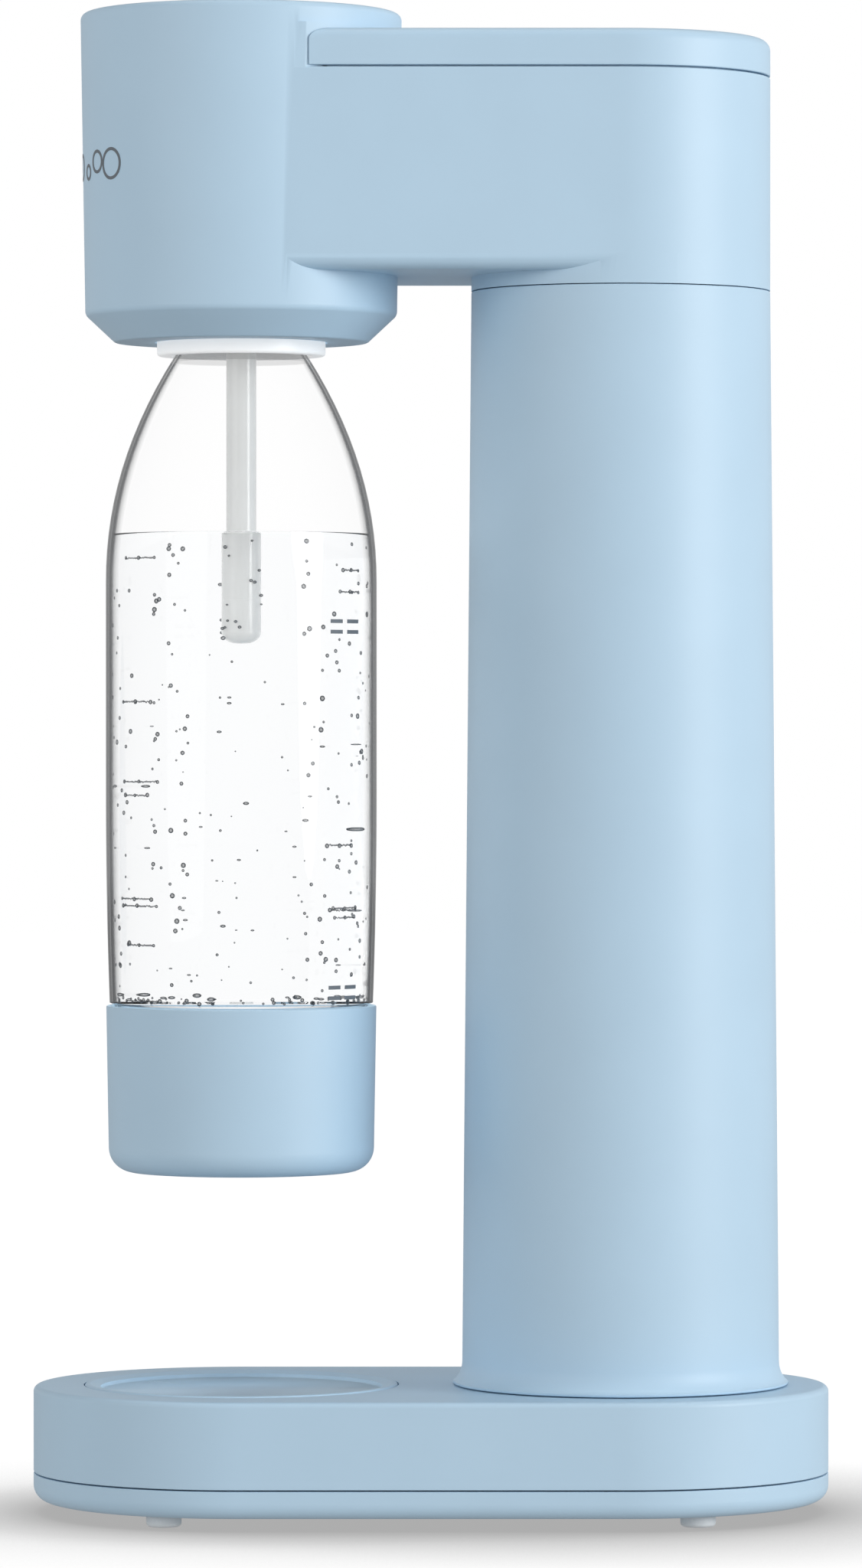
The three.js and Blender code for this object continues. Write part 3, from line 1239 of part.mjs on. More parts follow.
function bottle() {
  const neckZ = RING_SEAT_Z;
  const outer = [
    ...bottleBase(0),
    ...bottleSide(0),
    [NECK_RADIUS, neckZ],
    [NECK_RADIUS, MOUTH_Z - LIP_HEIGHT],
    [LIP_RADIUS, MOUTH_Z - LIP_HEIGHT + 0.6],
    [LIP_RADIUS, MOUTH_Z],
  ];
  const bore = NECK_RADIUS - 2 * BOTTLE_WALL;
  const inner = [
    ...bottleBase(BOTTLE_WALL),
    ...bottleSide(BOTTLE_WALL),
    [bore, neckZ],
    [bore, MOUTH_Z],
  ];
  return turned([...outer, ...inner.reverse()], MEDIUM);
}

function bottleCup() {
  const bore = CUP_RADIUS - CUP_WALL;
  return turned([
    [0, CUP_Z],
    ...arc(CUP_RADIUS - CUP_DRAFT - CUP_CORNER, CUP_Z + CUP_CORNER, CUP_CORNER, -90, 0),
    [CUP_RADIUS, CUP_TOP_Z],
    [bore, CUP_TOP_Z],
    ...arc(bore - CUP_CORNER, CUP_Z + CUP_WALL + CUP_CORNER, CUP_CORNER, 0, -90),
    [0, CUP_Z + CUP_WALL],
  ], MEDIUM);
}

// ---- Assembly ---------------------------------------------------------------------------------------

place(machine, 'base_plate', basePlate(), shellBlue());
place(machine, 'base_housing', baseHousing(), shellBlue());
FEET.forEach(([x, y], index) => {
  place(machine, `foot_${CORNER_NAMES[index]}`, foot(), paleRubber()).position.set(x, y, 0);
});
place(machine, 'upper_housing', upperHousing(), shellBlue());
place(machine, 'arm_lid', armLid(), shellBlue());
place(machine, 'lever', lever(), steel());
place(machine, 'lever_pin', leverPin(), steel());
place(machine, 'lever_bracket', leverBracket(), innerGrey());
place(machine, 'gas_hose', gasHose(), softRubber());
const outletFitting = place(machine, 'outlet_fitting', hoseFitting().mirror([0, 1, 0]), brass());
outletFitting.position.set(0, OUTLET_Y, OUTLET_Z);
place(machine, 'inlet_fitting', hoseFitting(), brass()).position.set(0, INLET_Y, INLET_Z);

place(columnAxis, 'column_shell', columnShell(), shellBlue());
place(columnAxis, 'inner_frame', innerFrame(), innerGrey());
place(columnAxis, 'gas_cylinder', gasCylinder(), aluminium());
place(columnAxis, 'cylinder_valve', cylinderValve(), brass());
place(columnAxis, 'valve_pin', valvePin(), steel());
place(columnAxis, 'gas_head', gasHead(), aluminium());
place(columnAxis, 'gas_head_seal', gasHeadSeal(), softRubber());
place(columnAxis, 'plunger', plunger(), steel());
place(columnAxis, 'plunger_seal', plungerSeal(), softRubber());
place(columnAxis, 'plunger_spring', plungerSpring(), steel());

place(headAxis, 'drip_tray', dripTray(), shellBlue());
place(headAxis, 'press_button', pressButton(), shellBlue());
place(headAxis, 'button_guide', buttonGuide(), whitePlastic());
place(headAxis, 'button_spring', buttonSpring(), steel());
place(headAxis, 'mixing_head', mixingHead(), innerGrey());
place(headAxis, 'bottle_seal', bottleSeal(), softRubber());
place(headAxis, 'nozzle_adapter', nozzleAdapter(), milkyPlastic());
place(headAxis, 'nozzle_tube', nozzleTube(), milkyPlastic());
place(headAxis, 'nozzle_tip', nozzleTip(), milkyPlastic());
place(headAxis, 'relief_body', reliefBody(), brass()).position.x = RELIEF_X;
place(headAxis, 'relief_poppet', reliefPoppet(), softRubber()).position.x = RELIEF_X;
place(headAxis, 'relief_spring', reliefSpring(), steel()).position.x = RELIEF_X;
place(headAxis, 'relief_cap', reliefCap(), brass()).position.x = RELIEF_X;
place(headAxis, 'bottle_lock_ring', lockRing(), whitePlastic());
place(headAxis, 'bottle', bottle(), clearPlastic());
place(headAxis, 'bottle_cup', bottleCup(), shellBlue());

placeScrews(machine, 'base', BASE_SCREWS, PLATE_Z + PLATE_SINK - FIT, 14, true);
placeScrews(columnAxis, 'frame_foot', FRAME_FOOT_SCREWS, PLATE_Z + PLATE_SINK - FIT, 12, true);
placeScrews(columnAxis, 'frame_top', FRAME_SCREWS, ARM_FLOOR_Z + FIT, 12);
placeScrews(columnAxis, 'gas_head', GAS_HEAD_SCREWS, GAS_BLOCK_Z + FIT, 11);
placeScrews(headAxis, 'mixing_head', MIXER_SCREWS, MIXER_TOP_Z + FIT, 13);
placeScrews(headAxis, 'guide', GUIDE_SCREWS, GUIDE_Z + GUIDE_FLOOR + FIT, 9);
const pivotAxis = new THREE.Group();
pivotAxis.position.y = PIVOT_Y;
machine.add(pivotAxis);
placeScrews(pivotAxis, 'bracket', BRACKET_SCREWS, ARM_FLOOR_Z + FIT + BRACKET_FOOT + FIT, 10);

export default machine;
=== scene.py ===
"""The finished look of a soda carbonator: satin blue shells, a clear bottle of water and the works inside."""
import json
import math
import random

import bpy
from mathutils import Matrix, Vector


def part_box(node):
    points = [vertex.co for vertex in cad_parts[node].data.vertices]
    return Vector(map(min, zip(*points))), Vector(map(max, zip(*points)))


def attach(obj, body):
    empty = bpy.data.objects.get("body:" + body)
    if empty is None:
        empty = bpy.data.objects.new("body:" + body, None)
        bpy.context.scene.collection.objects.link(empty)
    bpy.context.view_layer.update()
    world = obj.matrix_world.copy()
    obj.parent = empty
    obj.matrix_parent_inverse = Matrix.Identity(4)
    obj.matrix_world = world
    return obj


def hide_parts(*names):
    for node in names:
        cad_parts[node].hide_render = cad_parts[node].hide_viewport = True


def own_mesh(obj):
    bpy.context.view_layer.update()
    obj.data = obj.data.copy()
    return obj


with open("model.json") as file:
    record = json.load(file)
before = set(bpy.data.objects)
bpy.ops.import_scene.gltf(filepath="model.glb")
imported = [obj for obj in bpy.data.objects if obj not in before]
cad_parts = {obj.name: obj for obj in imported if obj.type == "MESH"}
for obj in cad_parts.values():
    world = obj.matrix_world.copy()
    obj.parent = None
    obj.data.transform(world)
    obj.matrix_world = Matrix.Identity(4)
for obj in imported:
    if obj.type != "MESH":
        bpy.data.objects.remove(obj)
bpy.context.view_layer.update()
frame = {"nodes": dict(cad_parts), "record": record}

MM = 0.001
FIT = 0.3 * MM               # clearance between pieces that touch
SHELL_WALL = 2.5 * MM
SIDES = 160                  # facets round a large turned piece
SMALL_SIDES = 48
OVERSHOOT = 5 * MM           # how far a cutter runs past a face
ON_AXIS = 1e-9               # a radius under this is a point on the axis
CAP = 20 * MM                # where the flat ends of a racetrack outline stop
SCREW_HOLE = 1.7 * MM
SCREW_RECESS = 3.1 * MM      # radius of the recess for a screw's head
PIN_HOLE = 2.8 * MM          # radius of the lever pin's holes
CORNERS = ("front_left", "front_right", "rear_left", "rear_right")

# ---- Where the frame puts things ----


def low(node):
    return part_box(node)[0]


def high(node):
    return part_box(node)[1]


def middle(node):
    return (low(node) + high(node)) / 2


def half_width(node):
    return (high(node).x - low(node).x) / 2


def heights(node):
    return low(node).z, high(node).z


def spot(node):
    """A node's place seen from above."""
    return tuple(middle(node)[:2])


BASE_HALF = half_width("base_housing")
HEAD_Y = low("base_housing").y + BASE_HALF
COLUMN_Y = high("base_housing").y - BASE_HALF
HEAD = (0, HEAD_Y)
COLUMN = (0, COLUMN_Y)
BASE_TOP = high("base_housing").z
ARM_HALF = high("upper_housing").y - COLUMN_Y
HEAD_RADIUS = HEAD_Y - low("upper_housing").y
HEAD_TOP = high("upper_housing").z
HEAD_TAPER = 1.35 * MM       # the head is this much slimmer at its waist
CHAMFER_RISE, CHAMFER_RUN = 7.9 * MM, 8.45 * MM
RING_TOP = high("bottle_lock_ring").z
HEAD_BOTTOM = low("bottle_lock_ring").z + 3.9 * MM
NECK_Z = high("column_shell").z + 0.25 * MM
ARM_Z = NECK_Z + 3.95 * MM
ARM_FLOOR = ARM_Z + SHELL_WALL
LID_Z = low("arm_lid").z + 5 * MM
LID_TOP = high("arm_lid").z

# ---- Mesh helpers ----


def rounded(corners, steps=6):
    """Outline points from (r, z) or (r, z, radius) corners; a radius rounds its corner."""
    points = []
    count = len(corners)
    for index, corner in enumerate(corners):
        radius = corner[2] if len(corner) > 2 else 0
        here = Vector(corner[:2])
        if radius <= 0:
            points.append(here)
            continue
        before = (Vector(corners[index - 1][:2]) - here).normalized()
        after = (Vector(corners[(index + 1) % count][:2]) - here).normalized()
        half = before.angle(after) / 2
        reach = radius / math.tan(half)
        centre = here + (before + after).normalized() * radius / math.sin(half)
        start = here + before * reach - centre
        end = here + after * reach - centre
        sweep = (math.pi - 2 * half) * (1 if start.x * end.y > start.y * end.x else -1)
        points += [centre + Matrix.Rotation(sweep * step / steps, 2) @ start for step in range(steps + 1)]
    return [(p.x, p.y) for p in points]


def new_piece(name, vertices, faces=(), edges=()):
    mesh = bpy.data.meshes.new(name)
    mesh.from_pydata(vertices, edges, faces)
    mesh.validate()
    piece = bpy.data.objects.new(name, mesh)
    bpy.context.scene.collection.objects.link(piece)
    return piece


def line_piece(name, path):
    """A chain of points joined by edges."""
    return new_piece(name, path, edges=[(index, index + 1) for index in range(len(path) - 1)])


def lofted(name, rings, closed=False):
    """Joins rings of points, each going anticlockwise seen from above, from the first up to the last."""
    sides = max(len(ring) for ring in rings)
    vertices, starts = [], []
    for ring in rings:
        starts.append(len(vertices))
        vertices.extend(ring)
    faces = []
    pairs = list(zip(range(len(rings) - 1), range(1, len(rings))))
    if closed:
        pairs.append((len(rings) - 1, 0))
    for lower, upper in pairs:
        a, b = starts[lower], starts[upper]
        for side in range(sides):
            after = (side + 1) % sides
            if len(rings[lower]) == 1:
                faces.append((a, b + after, b + side))
            elif len(rings[upper]) == 1:
                faces.append((a + side, a + after, b))
            else:
                faces.append((a + side, a + after, b + after, b + side))
    if not closed:
        if len(rings[0]) > 1:
            faces.append(tuple(starts[0] + side for side in reversed(range(sides))))
        if len(rings[-1]) > 1:
            faces.append(tuple(starts[-1] + side for side in range(sides)))
    return new_piece(name, vertices, faces)


def turned(name, outline, centre=(0, 0), sides=SIDES):
    """A body of revolution. The outline goes up its outer side, and closes on the axis or on itself."""
    on_axis = outline[0][0] < ON_AXIS and outline[-1][0] < ON_AXIS
    rings = []
    for r, z in outline:
        if r < ON_AXIS:
            rings.append([(centre[0], centre[1], z)])
            continue
        angles = [2 * math.pi * side / sides for side in range(sides)]
        rings.append([(centre[0] + r * math.cos(a), centre[1] + r * math.sin(a), z) for a in angles])
    return lofted(name, rings, closed=not on_axis)


def racetrack_ring(r, z, sides):
    """Two half circles round the head's and the column's axes, joined by straight sides."""
    half = sides // 2
    ring = []
    for centre_y, start in ((COLUMN_Y, 0.0), (HEAD_Y, math.pi)):
        for step in range(half + 1):
            angle = start + math.pi * step / half
            ring.append((r * math.cos(angle), centre_y + r * math.sin(angle), z))
    return ring


def racetrack(name, outline, sides=SIDES):
    return lofted(name, [racetrack_ring(r, z, sides) for r, z in outline])


def box_piece(name, x, y, z):
    """A plain block, used only as a cutter or as part of a moulding."""
    vertices = [(x[i], y[j], z[k]) for k in (0, 1) for j in (0, 1) for i in (0, 1)]
    faces = [(0, 2, 3, 1), (4, 5, 7, 6), (0, 1, 5, 4), (2, 6, 7, 3), (0, 4, 6, 2), (1, 3, 7, 5)]
    return new_piece(name, vertices, faces)


def drum(name, radius, z0, z1, centre=(0, 0), sides=SIDES):
    return turned(name, [(0, z0), (radius, z0), (radius, z1), (0, z1)], centre, sides)


def hole(radius, z0, z1, centre=(0, 0), sides=SIDES):
    """A round cutter."""
    return drum("cut", radius, z0, z1, centre, sides)


def screw_holes(label, count, z0, z1):
    return [hole(SCREW_HOLE, z0, z1, spot(f"{label}_{index + 1}"), 32) for index in range(count)]


def settled(piece):
    """Applies a piece's modifiers."""
    evaluated = piece.evaluated_get(bpy.context.evaluated_depsgraph_get())
    mesh = bpy.data.meshes.new_from_object(evaluated)
    piece.modifiers.clear()
    old = piece.data
    piece.data = mesh
    bpy.data.meshes.remove(old)
    mesh.name = piece.name
    return piece


def combined(piece, other, how):
    modifier = piece.modifiers.new(how, "BOOLEAN")
    modifier.operation = how
    modifier.solver = "EXACT"
    modifier.object = other
    settled(piece)
    bpy.data.objects.remove(other)
    return piece


def carve(piece, *cutters):
    for cutter in cutters:
        combined(piece, cutter, "DIFFERENCE")
    return piece


def unite(piece, *others):
    for other in others:
        combined(piece, other, "UNION")
    return piece


def soften(piece, width, angle=35):
    """A small moulded radius on the edges that a cut or a join left sharp."""
    bevel = piece.modifiers.new("edge", "BEVEL")
    bevel.width = width
    bevel.segments = 2
    bevel.limit_method = "ANGLE"
    bevel.angle_limit = math.radians(angle)
    bevel.use_clamp_overlap = True
    return settled(piece)


def smooth(piece, angle=32):
    """Smooth shading that keeps true corners, with flat faces kept flat."""
    piece.data.shade_smooth()
    piece.data.set_sharp_from_angle(angle=math.radians(angle))
    normals = piece.modifiers.new("normals", "WEIGHTED_NORMAL")
    normals.keep_sharp = True
    return settled(piece)


# ---- Materials ----


def rgb(red, green, blue):
    """An sRGB colour, 0 to 255, as linear light."""
    def linear(value):
        value /= 255
        return value / 12.92 if value <= 0.04045 else ((value + 0.055) / 1.055) ** 2.4
    return (linear(red), linear(green), linear(blue), 1)


def give(tree, socket, value):
    """Sets a socket's value, or links it to the socket that feeds it."""
    if isinstance(value, bpy.types.NodeSocket):
        tree.links.new(value, socket)
    else:
        socket.default_value = value


def feed(tree, node, inputs):
    for name, value in inputs.items():
        give(tree, node.inputs[name], value)


def add(tree, kind, inputs=None, **settings):
    """A new node, with its settings and then its inputs: values, or the sockets that feed them."""
    node = tree.nodes.new(kind)
    for name, value in settings.items():
        setattr(node, name, value)
    feed(tree, node, inputs or {})
    return node


def new_material(name):
    material = bpy.data.materials.new(name)
    material.use_nodes = True
    return material, material.node_tree, material.node_tree.nodes["Principled BSDF"]


def object_coordinates(tree):
    return add(tree, "ShaderNodeTexCoord").outputs["Object"]


def varied_colour(tree, shader, coordinates, colour, scale, spread):
    """Very slight cloudiness, as moulded plastic has."""
    noise = add(tree, "ShaderNodeTexNoise", {"Vector": coordinates, "Scale": scale, "Detail": 3})
    ramp = add(tree, "ShaderNodeValToRGB", {"Fac": noise.outputs["Fac"]})
    for element, place, share in zip(ramp.color_ramp.elements, (0.3, 0.7), (1 - spread, 1 + spread)):
        element.position = place
        element.color = [min(1, c * share) for c in colour[:3]] + [1]
    feed(tree, shader, {"Base Color": ramp.outputs["Color"]})
    return noise


def textured(tree, shader, pattern, roughness, spread, strength):
    """Uneven gloss and a fine bump, both from one pattern."""
    gloss = add(tree, "ShaderNodeMapRange",
                {"Value": pattern, "To Min": roughness - spread, "To Max": roughness + spread})
    bump = add(tree, "ShaderNodeBump", {"Strength": strength, "Distance": 0.1 * MM, "Height": pattern})
    feed(tree, shader, {"Roughness": gloss.outputs["Result"], "Normal": bump.outputs["Normal"]})


def moulded(name, colour, roughness, grain=0.06, grain_scale=1400):
    """Satin moulded plastic: slight cloudiness, a fine spark-eroded grain and uneven gloss."""
    material, tree, shader = new_material(name)
    coordinates = object_coordinates(tree)
    varied_colour(tree, shader, coordinates, colour, 38, 0.012)
    fine = add(tree, "ShaderNodeTexNoise", {"Vector": coordinates, "Scale": grain_scale, "Detail": 2})
    textured(tree, shader, fine.outputs["Fac"], roughness, 0.05, grain)
    return material


def metal(name, colour, roughness, stretch=(1, 1, 30)):
    """Turned or drawn metal with fine lines along one direction."""
    material, tree, shader = new_material(name)
    mapping = add(tree, "ShaderNodeMapping", {"Vector": object_coordinates(tree), "Scale": stretch})
    lines = varied_colour(tree, shader, mapping.outputs["Vector"], colour, 120, 0.08)
    feed(tree, shader, {"Metallic": 1})
    textured(tree, shader, lines.outputs["Fac"], roughness, 0.08, 0.08)
    return material


def see_through(name, colour, scale, spread, transmission, ior, roughness):
    """Water, or a translucent plastic that lets some light through."""
    material, tree, shader = new_material(name)
    varied_colour(tree, shader, object_coordinates(tree), colour, scale, spread)
    feed(tree, shader, {"Transmission Weight": transmission, "IOR": ior, "Roughness": roughness})
    return material


def painted_glow(material, colour, strength):
    """Painted glow: a little emission that lifts a material out of its shade, standing in for light that the
    lamps don't bring there (for pale plastic, also some of the light it scatters back).
    """
    shader = material.node_tree.nodes["Principled BSDF"]
    feed(material.node_tree, shader, {"Emission Color": colour, "Emission Strength": strength})
    return material


FADE = 0.3 * MM              # height over which the bottle's look changes
NECK_OPACITY = 0.13          # how opaque the bottle turns, a grey band, from just under the lock ring up through its neck


def rimmed(name, rim, stops, greyer_above=None, hidden_below=0):
    """Clear plastic that darkens towards its rim, where light runs through more of it."""
    material, tree, shader = new_material(name)
    feed(tree, shader, {"Base Color": rim, "Roughness": 0.06})
    facing = add(tree, "ShaderNodeLayerWeight", {"Blend": 0.5})
    ramp = add(tree, "ShaderNodeValToRGB", {"Fac": facing.outputs["Facing"]})
    elements = ramp.color_ramp.elements
    for place, alpha in stops[1:-1]:
        elements.new(place).color = (alpha, alpha, alpha, 1)
    for element, (place, alpha) in zip((elements[0], elements[-1]), (stops[0], stops[-1])):
        element.position = place
        element.color = (alpha, alpha, alpha, 1)
    opacity = ramp.outputs["Color"]
    # a grey band: the bottle turns more opaque above a given height, up through its neck
    if greyer_above is not None:
        height = add(tree, "ShaderNodeSeparateXYZ", {"Vector": object_coordinates(tree)}).outputs["Z"]
        neck_grey = add(tree, "ShaderNodeMapRange", {
            "Value": height, "From Min": greyer_above, "From Max": greyer_above + FADE, "To Max": NECK_OPACITY})
        bare = add(tree, "ShaderNodeMapRange", {
            "Value": height, "From Min": hidden_below - FADE, "From Max": hidden_below})
        most = add(tree, "ShaderNodeMath", {0: opacity, 1: neck_grey.outputs["Result"]}, operation="MAXIMUM")
        showing = add(tree, "ShaderNodeMath", {0: most.outputs["Value"], 1: bare.outputs["Result"]},
                      operation="MULTIPLY")
        opacity = showing.outputs["Value"]
    feed(tree, shader, {"Alpha": opacity})
    return material


WHITE = (1, 1, 1, 1)
SHELL_BLUE = rgb(185, 213, 233)
shell_blue = moulded("shell_blue", SHELL_BLUE, 0.45)
# painted glow on the cup's inner faces, which lifts their shade around the bottle's foot
cup_inside = painted_glow(moulded("cup_inside", SHELL_BLUE, 0.45), SHELL_BLUE, 0.4)
inner_grey = moulded("inner_grey", rgb(140, 147, 153), 0.6, 0.1, 900)
# painted glow: mostly painted light that lifts the white ring out of the shade under the head, partly the
# light pale plastic scatters back
white_plastic = painted_glow(moulded("white_plastic", rgb(240, 241, 241), 0.35, 0.03), WHITE, 0.34)
dark_rubber = moulded("dark_rubber", rgb(50, 52, 55), 0.75, 0.15, 1000)
pale_rubber = moulded("pale_rubber", rgb(214, 220, 224), 0.6, 0.1, 900)
print_grey = moulded("print_grey", rgb(104, 112, 120), 0.5, 0.02)
steel = metal("steel", rgb(190, 192, 195), 0.3)
brass = metal("brass", rgb(196, 164, 98), 0.32)
aluminium = metal("aluminium", rgb(186, 190, 195), 0.38, (1, 1, 12))
bottle_clear = rimmed("bottle_clear", rgb(58, 62, 67), [(0, 0), (0.62, 0.01), (0.74, 0.22), (0.84, 0.92)],
                      low("bottle_lock_ring").z - 1.9 * MM, high("bottle_cup").z)
bubble_air = rimmed("bubble_air", rgb(92, 98, 104), [(0, 0.35), (0.25, 0.7), (0.6, 0.95)])
water_clear = see_through("water_clear", rgb(253, 254, 255), 30, 0.004, transmission=1, ior=1.33, roughness=0)
# painted glow on the milky plastic, which lifts the nozzle out of the shade that the bottle and water cast on
# it; its light transmission is real
milky_plastic = painted_glow(
    see_through("milky_plastic", rgb(200, 202, 201), 90, 0.03, transmission=0.25, ior=1.45, roughness=0.14),
    WHITE, 0.2)

FINISHES = {
    "shell_blue": shell_blue, "inner_grey": inner_grey, "white_plastic": white_plastic,
    "milky_plastic": milky_plastic, "clear_plastic": bottle_clear, "rubber_dark": dark_rubber,
    "rubber_pale": pale_rubber, "steel": steel, "brass": brass, "aluminium": aluminium,
}


def float_sockets(sockets):
    return [socket for socket in sockets if socket.type == "VALUE"]


def random_float(tree, least, most, seed):
    node = add(tree, "FunctionNodeRandomValue", {"Seed": seed}, data_type="FLOAT")
    for socket, value in zip(float_sockets(node.inputs), (least, most)):
        give(tree, socket, value)
    return float_sockets(node.outputs)[0]


def grown(piece, name, inputs, material, build):
    """Runs a small tree of nodes on a piece: named inputs of a kind and a value, then real geometry."""
    group = bpy.data.node_groups.new(name, "GeometryNodeTree")
    interface = group.interface
    interface.new_socket("Geometry", in_out="INPUT", socket_type="NodeSocketGeometry")
    sockets = {label: interface.new_socket(label, in_out="INPUT", socket_type=f"NodeSocket{kind}")
               for label, (kind, value) in inputs.items()}
    interface.new_socket("Geometry", in_out="OUTPUT", socket_type="NodeSocketGeometry")
    built = build(group, add(group, "NodeGroupInput").outputs)
    realised = add(group, "GeometryNodeRealizeInstances", {"Geometry": built})
    finish = add(group, "GeometryNodeSetMaterial",
                 {"Geometry": realised.outputs["Geometry"], "Material": material})
    add(group, "NodeGroupOutput", {"Geometry": finish.outputs["Geometry"]})
    modifier = piece.modifiers.new(name, "NODES")
    modifier.node_group = group
    for label, (kind, value) in inputs.items():
        modifier[sockets[label].identifier] = value
    return settled(piece)


def finished(piece, slot, body, *nodes, material=None):
    """Gives a piece its slot's material or its own, its body and the CAD nodes that it stands for."""
    piece.data.materials.clear()
    piece.data.materials.append(material or FINISHES[slot])
    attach(piece, body)
    if nodes:
        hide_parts(*nodes)
    return piece


# ---- Camera, light and floor ----

EYE = Vector((2134 * MM, 0, 224.8 * MM))
AIM = Vector((0, 0, 209 * MM))
camera_data = bpy.data.cameras.new("camera")
camera_data.lens = 170.5
camera_data.sensor_width = 36
camera = bpy.data.objects.new("camera", camera_data)
camera.location = EYE
camera.rotation_euler = (AIM - EYE).to_track_quat("-Z", "Y").to_euler()
bpy.context.scene.collection.objects.link(camera)
bpy.context.scene.camera = camera
bpy.context.scene.view_settings.view_transform = "Standard"


def soft_light(name, place, aim, size, power):
    data = bpy.data.lights.new(name, "AREA")
    data.shape = "DISK"
    data.size = size
    data.energy = power
    light = bpy.data.objects.new(name, data)
    light.location = place
    light.rotation_euler = (Vector(aim) - Vector(place)).to_track_quat("-Z", "Y").to_euler()
    bpy.context.scene.collection.objects.link(light)


soft_light("key", (1.13, 2.12, 0.75), (0, 0, 0.22), 1.4, 32)
soft_light("fill", (1.5, -1.7, 0.5), (0, 0, 0.2), 1.6, 6)

SIDE_LIGHT = 1.38            # the surround's light at the shells, from the sides
TOP_LIGHT = 0.06             # and from overhead
FLOOR_LIGHT = 0.36           # what the floor throws back up at them
SHEEN_LIGHT = 0.5            # what shows as a reflection on them
TOP_SHEEN = 3.2              # and the same from a soft box overhead, which picks out rounded upper edges
SHADOW_REACH = 120 * MM      # how far the soft contact shadow spreads
SHADOW_FALLOFF = 4           # how quickly it fades outwards
FLOOR_DARKEST, FLOOR_BRIGHTEST = 0.42, 1.02
FLOOR_HALF = 6               # half the width of the floor, in metres


def seen_rays(tree):
    """1 for what is looked at or looked through, 0 for what lights the pieces."""
    path = add(tree, "ShaderNodeLightPath").outputs
    seen = add(tree, "ShaderNodeMath", {0: path["Is Camera Ray"], 1: path["Is Transmission Ray"]},
               operation="MAXIMUM")
    return seen.outputs["Value"]


def mixed(tree, share, first, second):
    """The first where the share is 0, and the second where it is 1."""
    return add(tree, "ShaderNodeMix", {0: share, 2: first, 3: second}).outputs[0]


def white_room():
    """A white surround to look at and through, which lights from the sides more than from overhead."""
    world = bpy.data.worlds.new("room")
    bpy.context.scene.world = world
    world.use_nodes = True
    tree = world.node_tree
    direction = add(tree, "ShaderNodeTexCoord").outputs["Generated"]
    height = add(tree, "ShaderNodeSeparateXYZ", {"Vector": direction}).outputs["Z"]
    surround = add(tree, "ShaderNodeMapRange", {
        "Value": height, "From Min": 0.1, "From Max": 0.8, "To Min": SIDE_LIGHT, "To Max": TOP_LIGHT})
    sheen = add(tree, "ShaderNodeMapRange", {
        "Value": height, "From Min": 0.7, "From Max": 0.95, "To Min": SHEEN_LIGHT, "To Max": TOP_SHEEN})
    glossy = add(tree, "ShaderNodeLightPath").outputs["Is Glossy Ray"]
    lit = mixed(tree, glossy, surround.outputs["Result"], sheen.outputs["Result"])
    feed(tree, tree.nodes["Background"], {"Color": WHITE, "Strength": mixed(tree, seen_rays(tree), lit, 1)})


def pale_floor():
    """A wide pale floor that runs into the white surround, with a soft contact shadow."""
    corners = [(-FLOOR_HALF, -FLOOR_HALF, 0), (FLOOR_HALF, -FLOOR_HALF, 0),
               (FLOOR_HALF, FLOOR_HALF, 0), (-FLOOR_HALF, FLOOR_HALF, 0)]
    floor = new_piece("floor", corners, [(0, 1, 2, 3)])
    material, tree, shader = new_material("floor")
    tree.nodes.remove(shader)
    nearness = add(tree, "ShaderNodeAmbientOcclusion", {"Distance": SHADOW_REACH}, samples=16)
    falloff = add(tree, "ShaderNodeMath", {0: nearness.outputs["AO"], 1: SHADOW_FALLOFF}, operation="POWER")
    glow = add(tree, "ShaderNodeMapRange", {
        "Value": falloff.outputs["Value"], "To Min": FLOOR_DARKEST, "To Max": FLOOR_BRIGHTEST})
    light = add(tree, "ShaderNodeEmission",
                {"Strength": mixed(tree, seen_rays(tree), FLOOR_LIGHT, glow.outputs["Result"])})
    feed(tree, tree.nodes["Material Output"], {"Surface": light.outputs["Emission"]})
    floor.data.materials.append(material)


white_room()
pale_floor()

# ---- Base ----


def base_plate():
    bottom, top = heights("base_plate")
    outline = rounded([(CAP, bottom), (BASE_HALF, bottom, 4.5 * MM), (BASE_HALF, top, 0.3 * MM), (CAP, top)],
                      10)
    plate = racetrack("base_plate_skin", outline)
    opening = half_width("gas_cylinder") + 1.2 * MM
    cutters = [hole(opening, bottom - OVERSHOOT, top + OVERSHOOT, COLUMN)]
    for label in ("base_screw_1", "base_screw_2", "base_screw_3", "base_screw_4",
                  "frame_foot_screw_1", "frame_foot_screw_2"):
        place = middle(label)
        cutters.append(hole(SCREW_RECESS, bottom - OVERSHOOT, bottom + 4.2 * MM, place[:2], SMALL_SIDES))
        cutters.append(hole(SCREW_HOLE, bottom - OVERSHOOT, top + OVERSHOOT, place[:2], SMALL_SIDES))
    for corner in CORNERS:
        place = middle(f"foot_{corner}")
        cutters.append(hole(3.3 * MM, bottom - OVERSHOOT, bottom + 3.6 * MM, place[:2], SMALL_SIDES))
    carve(plate, *cutters)
    soften(plate, 0.25 * MM)
    finished(smooth(plate), "shell_blue", "machine", "base_plate")


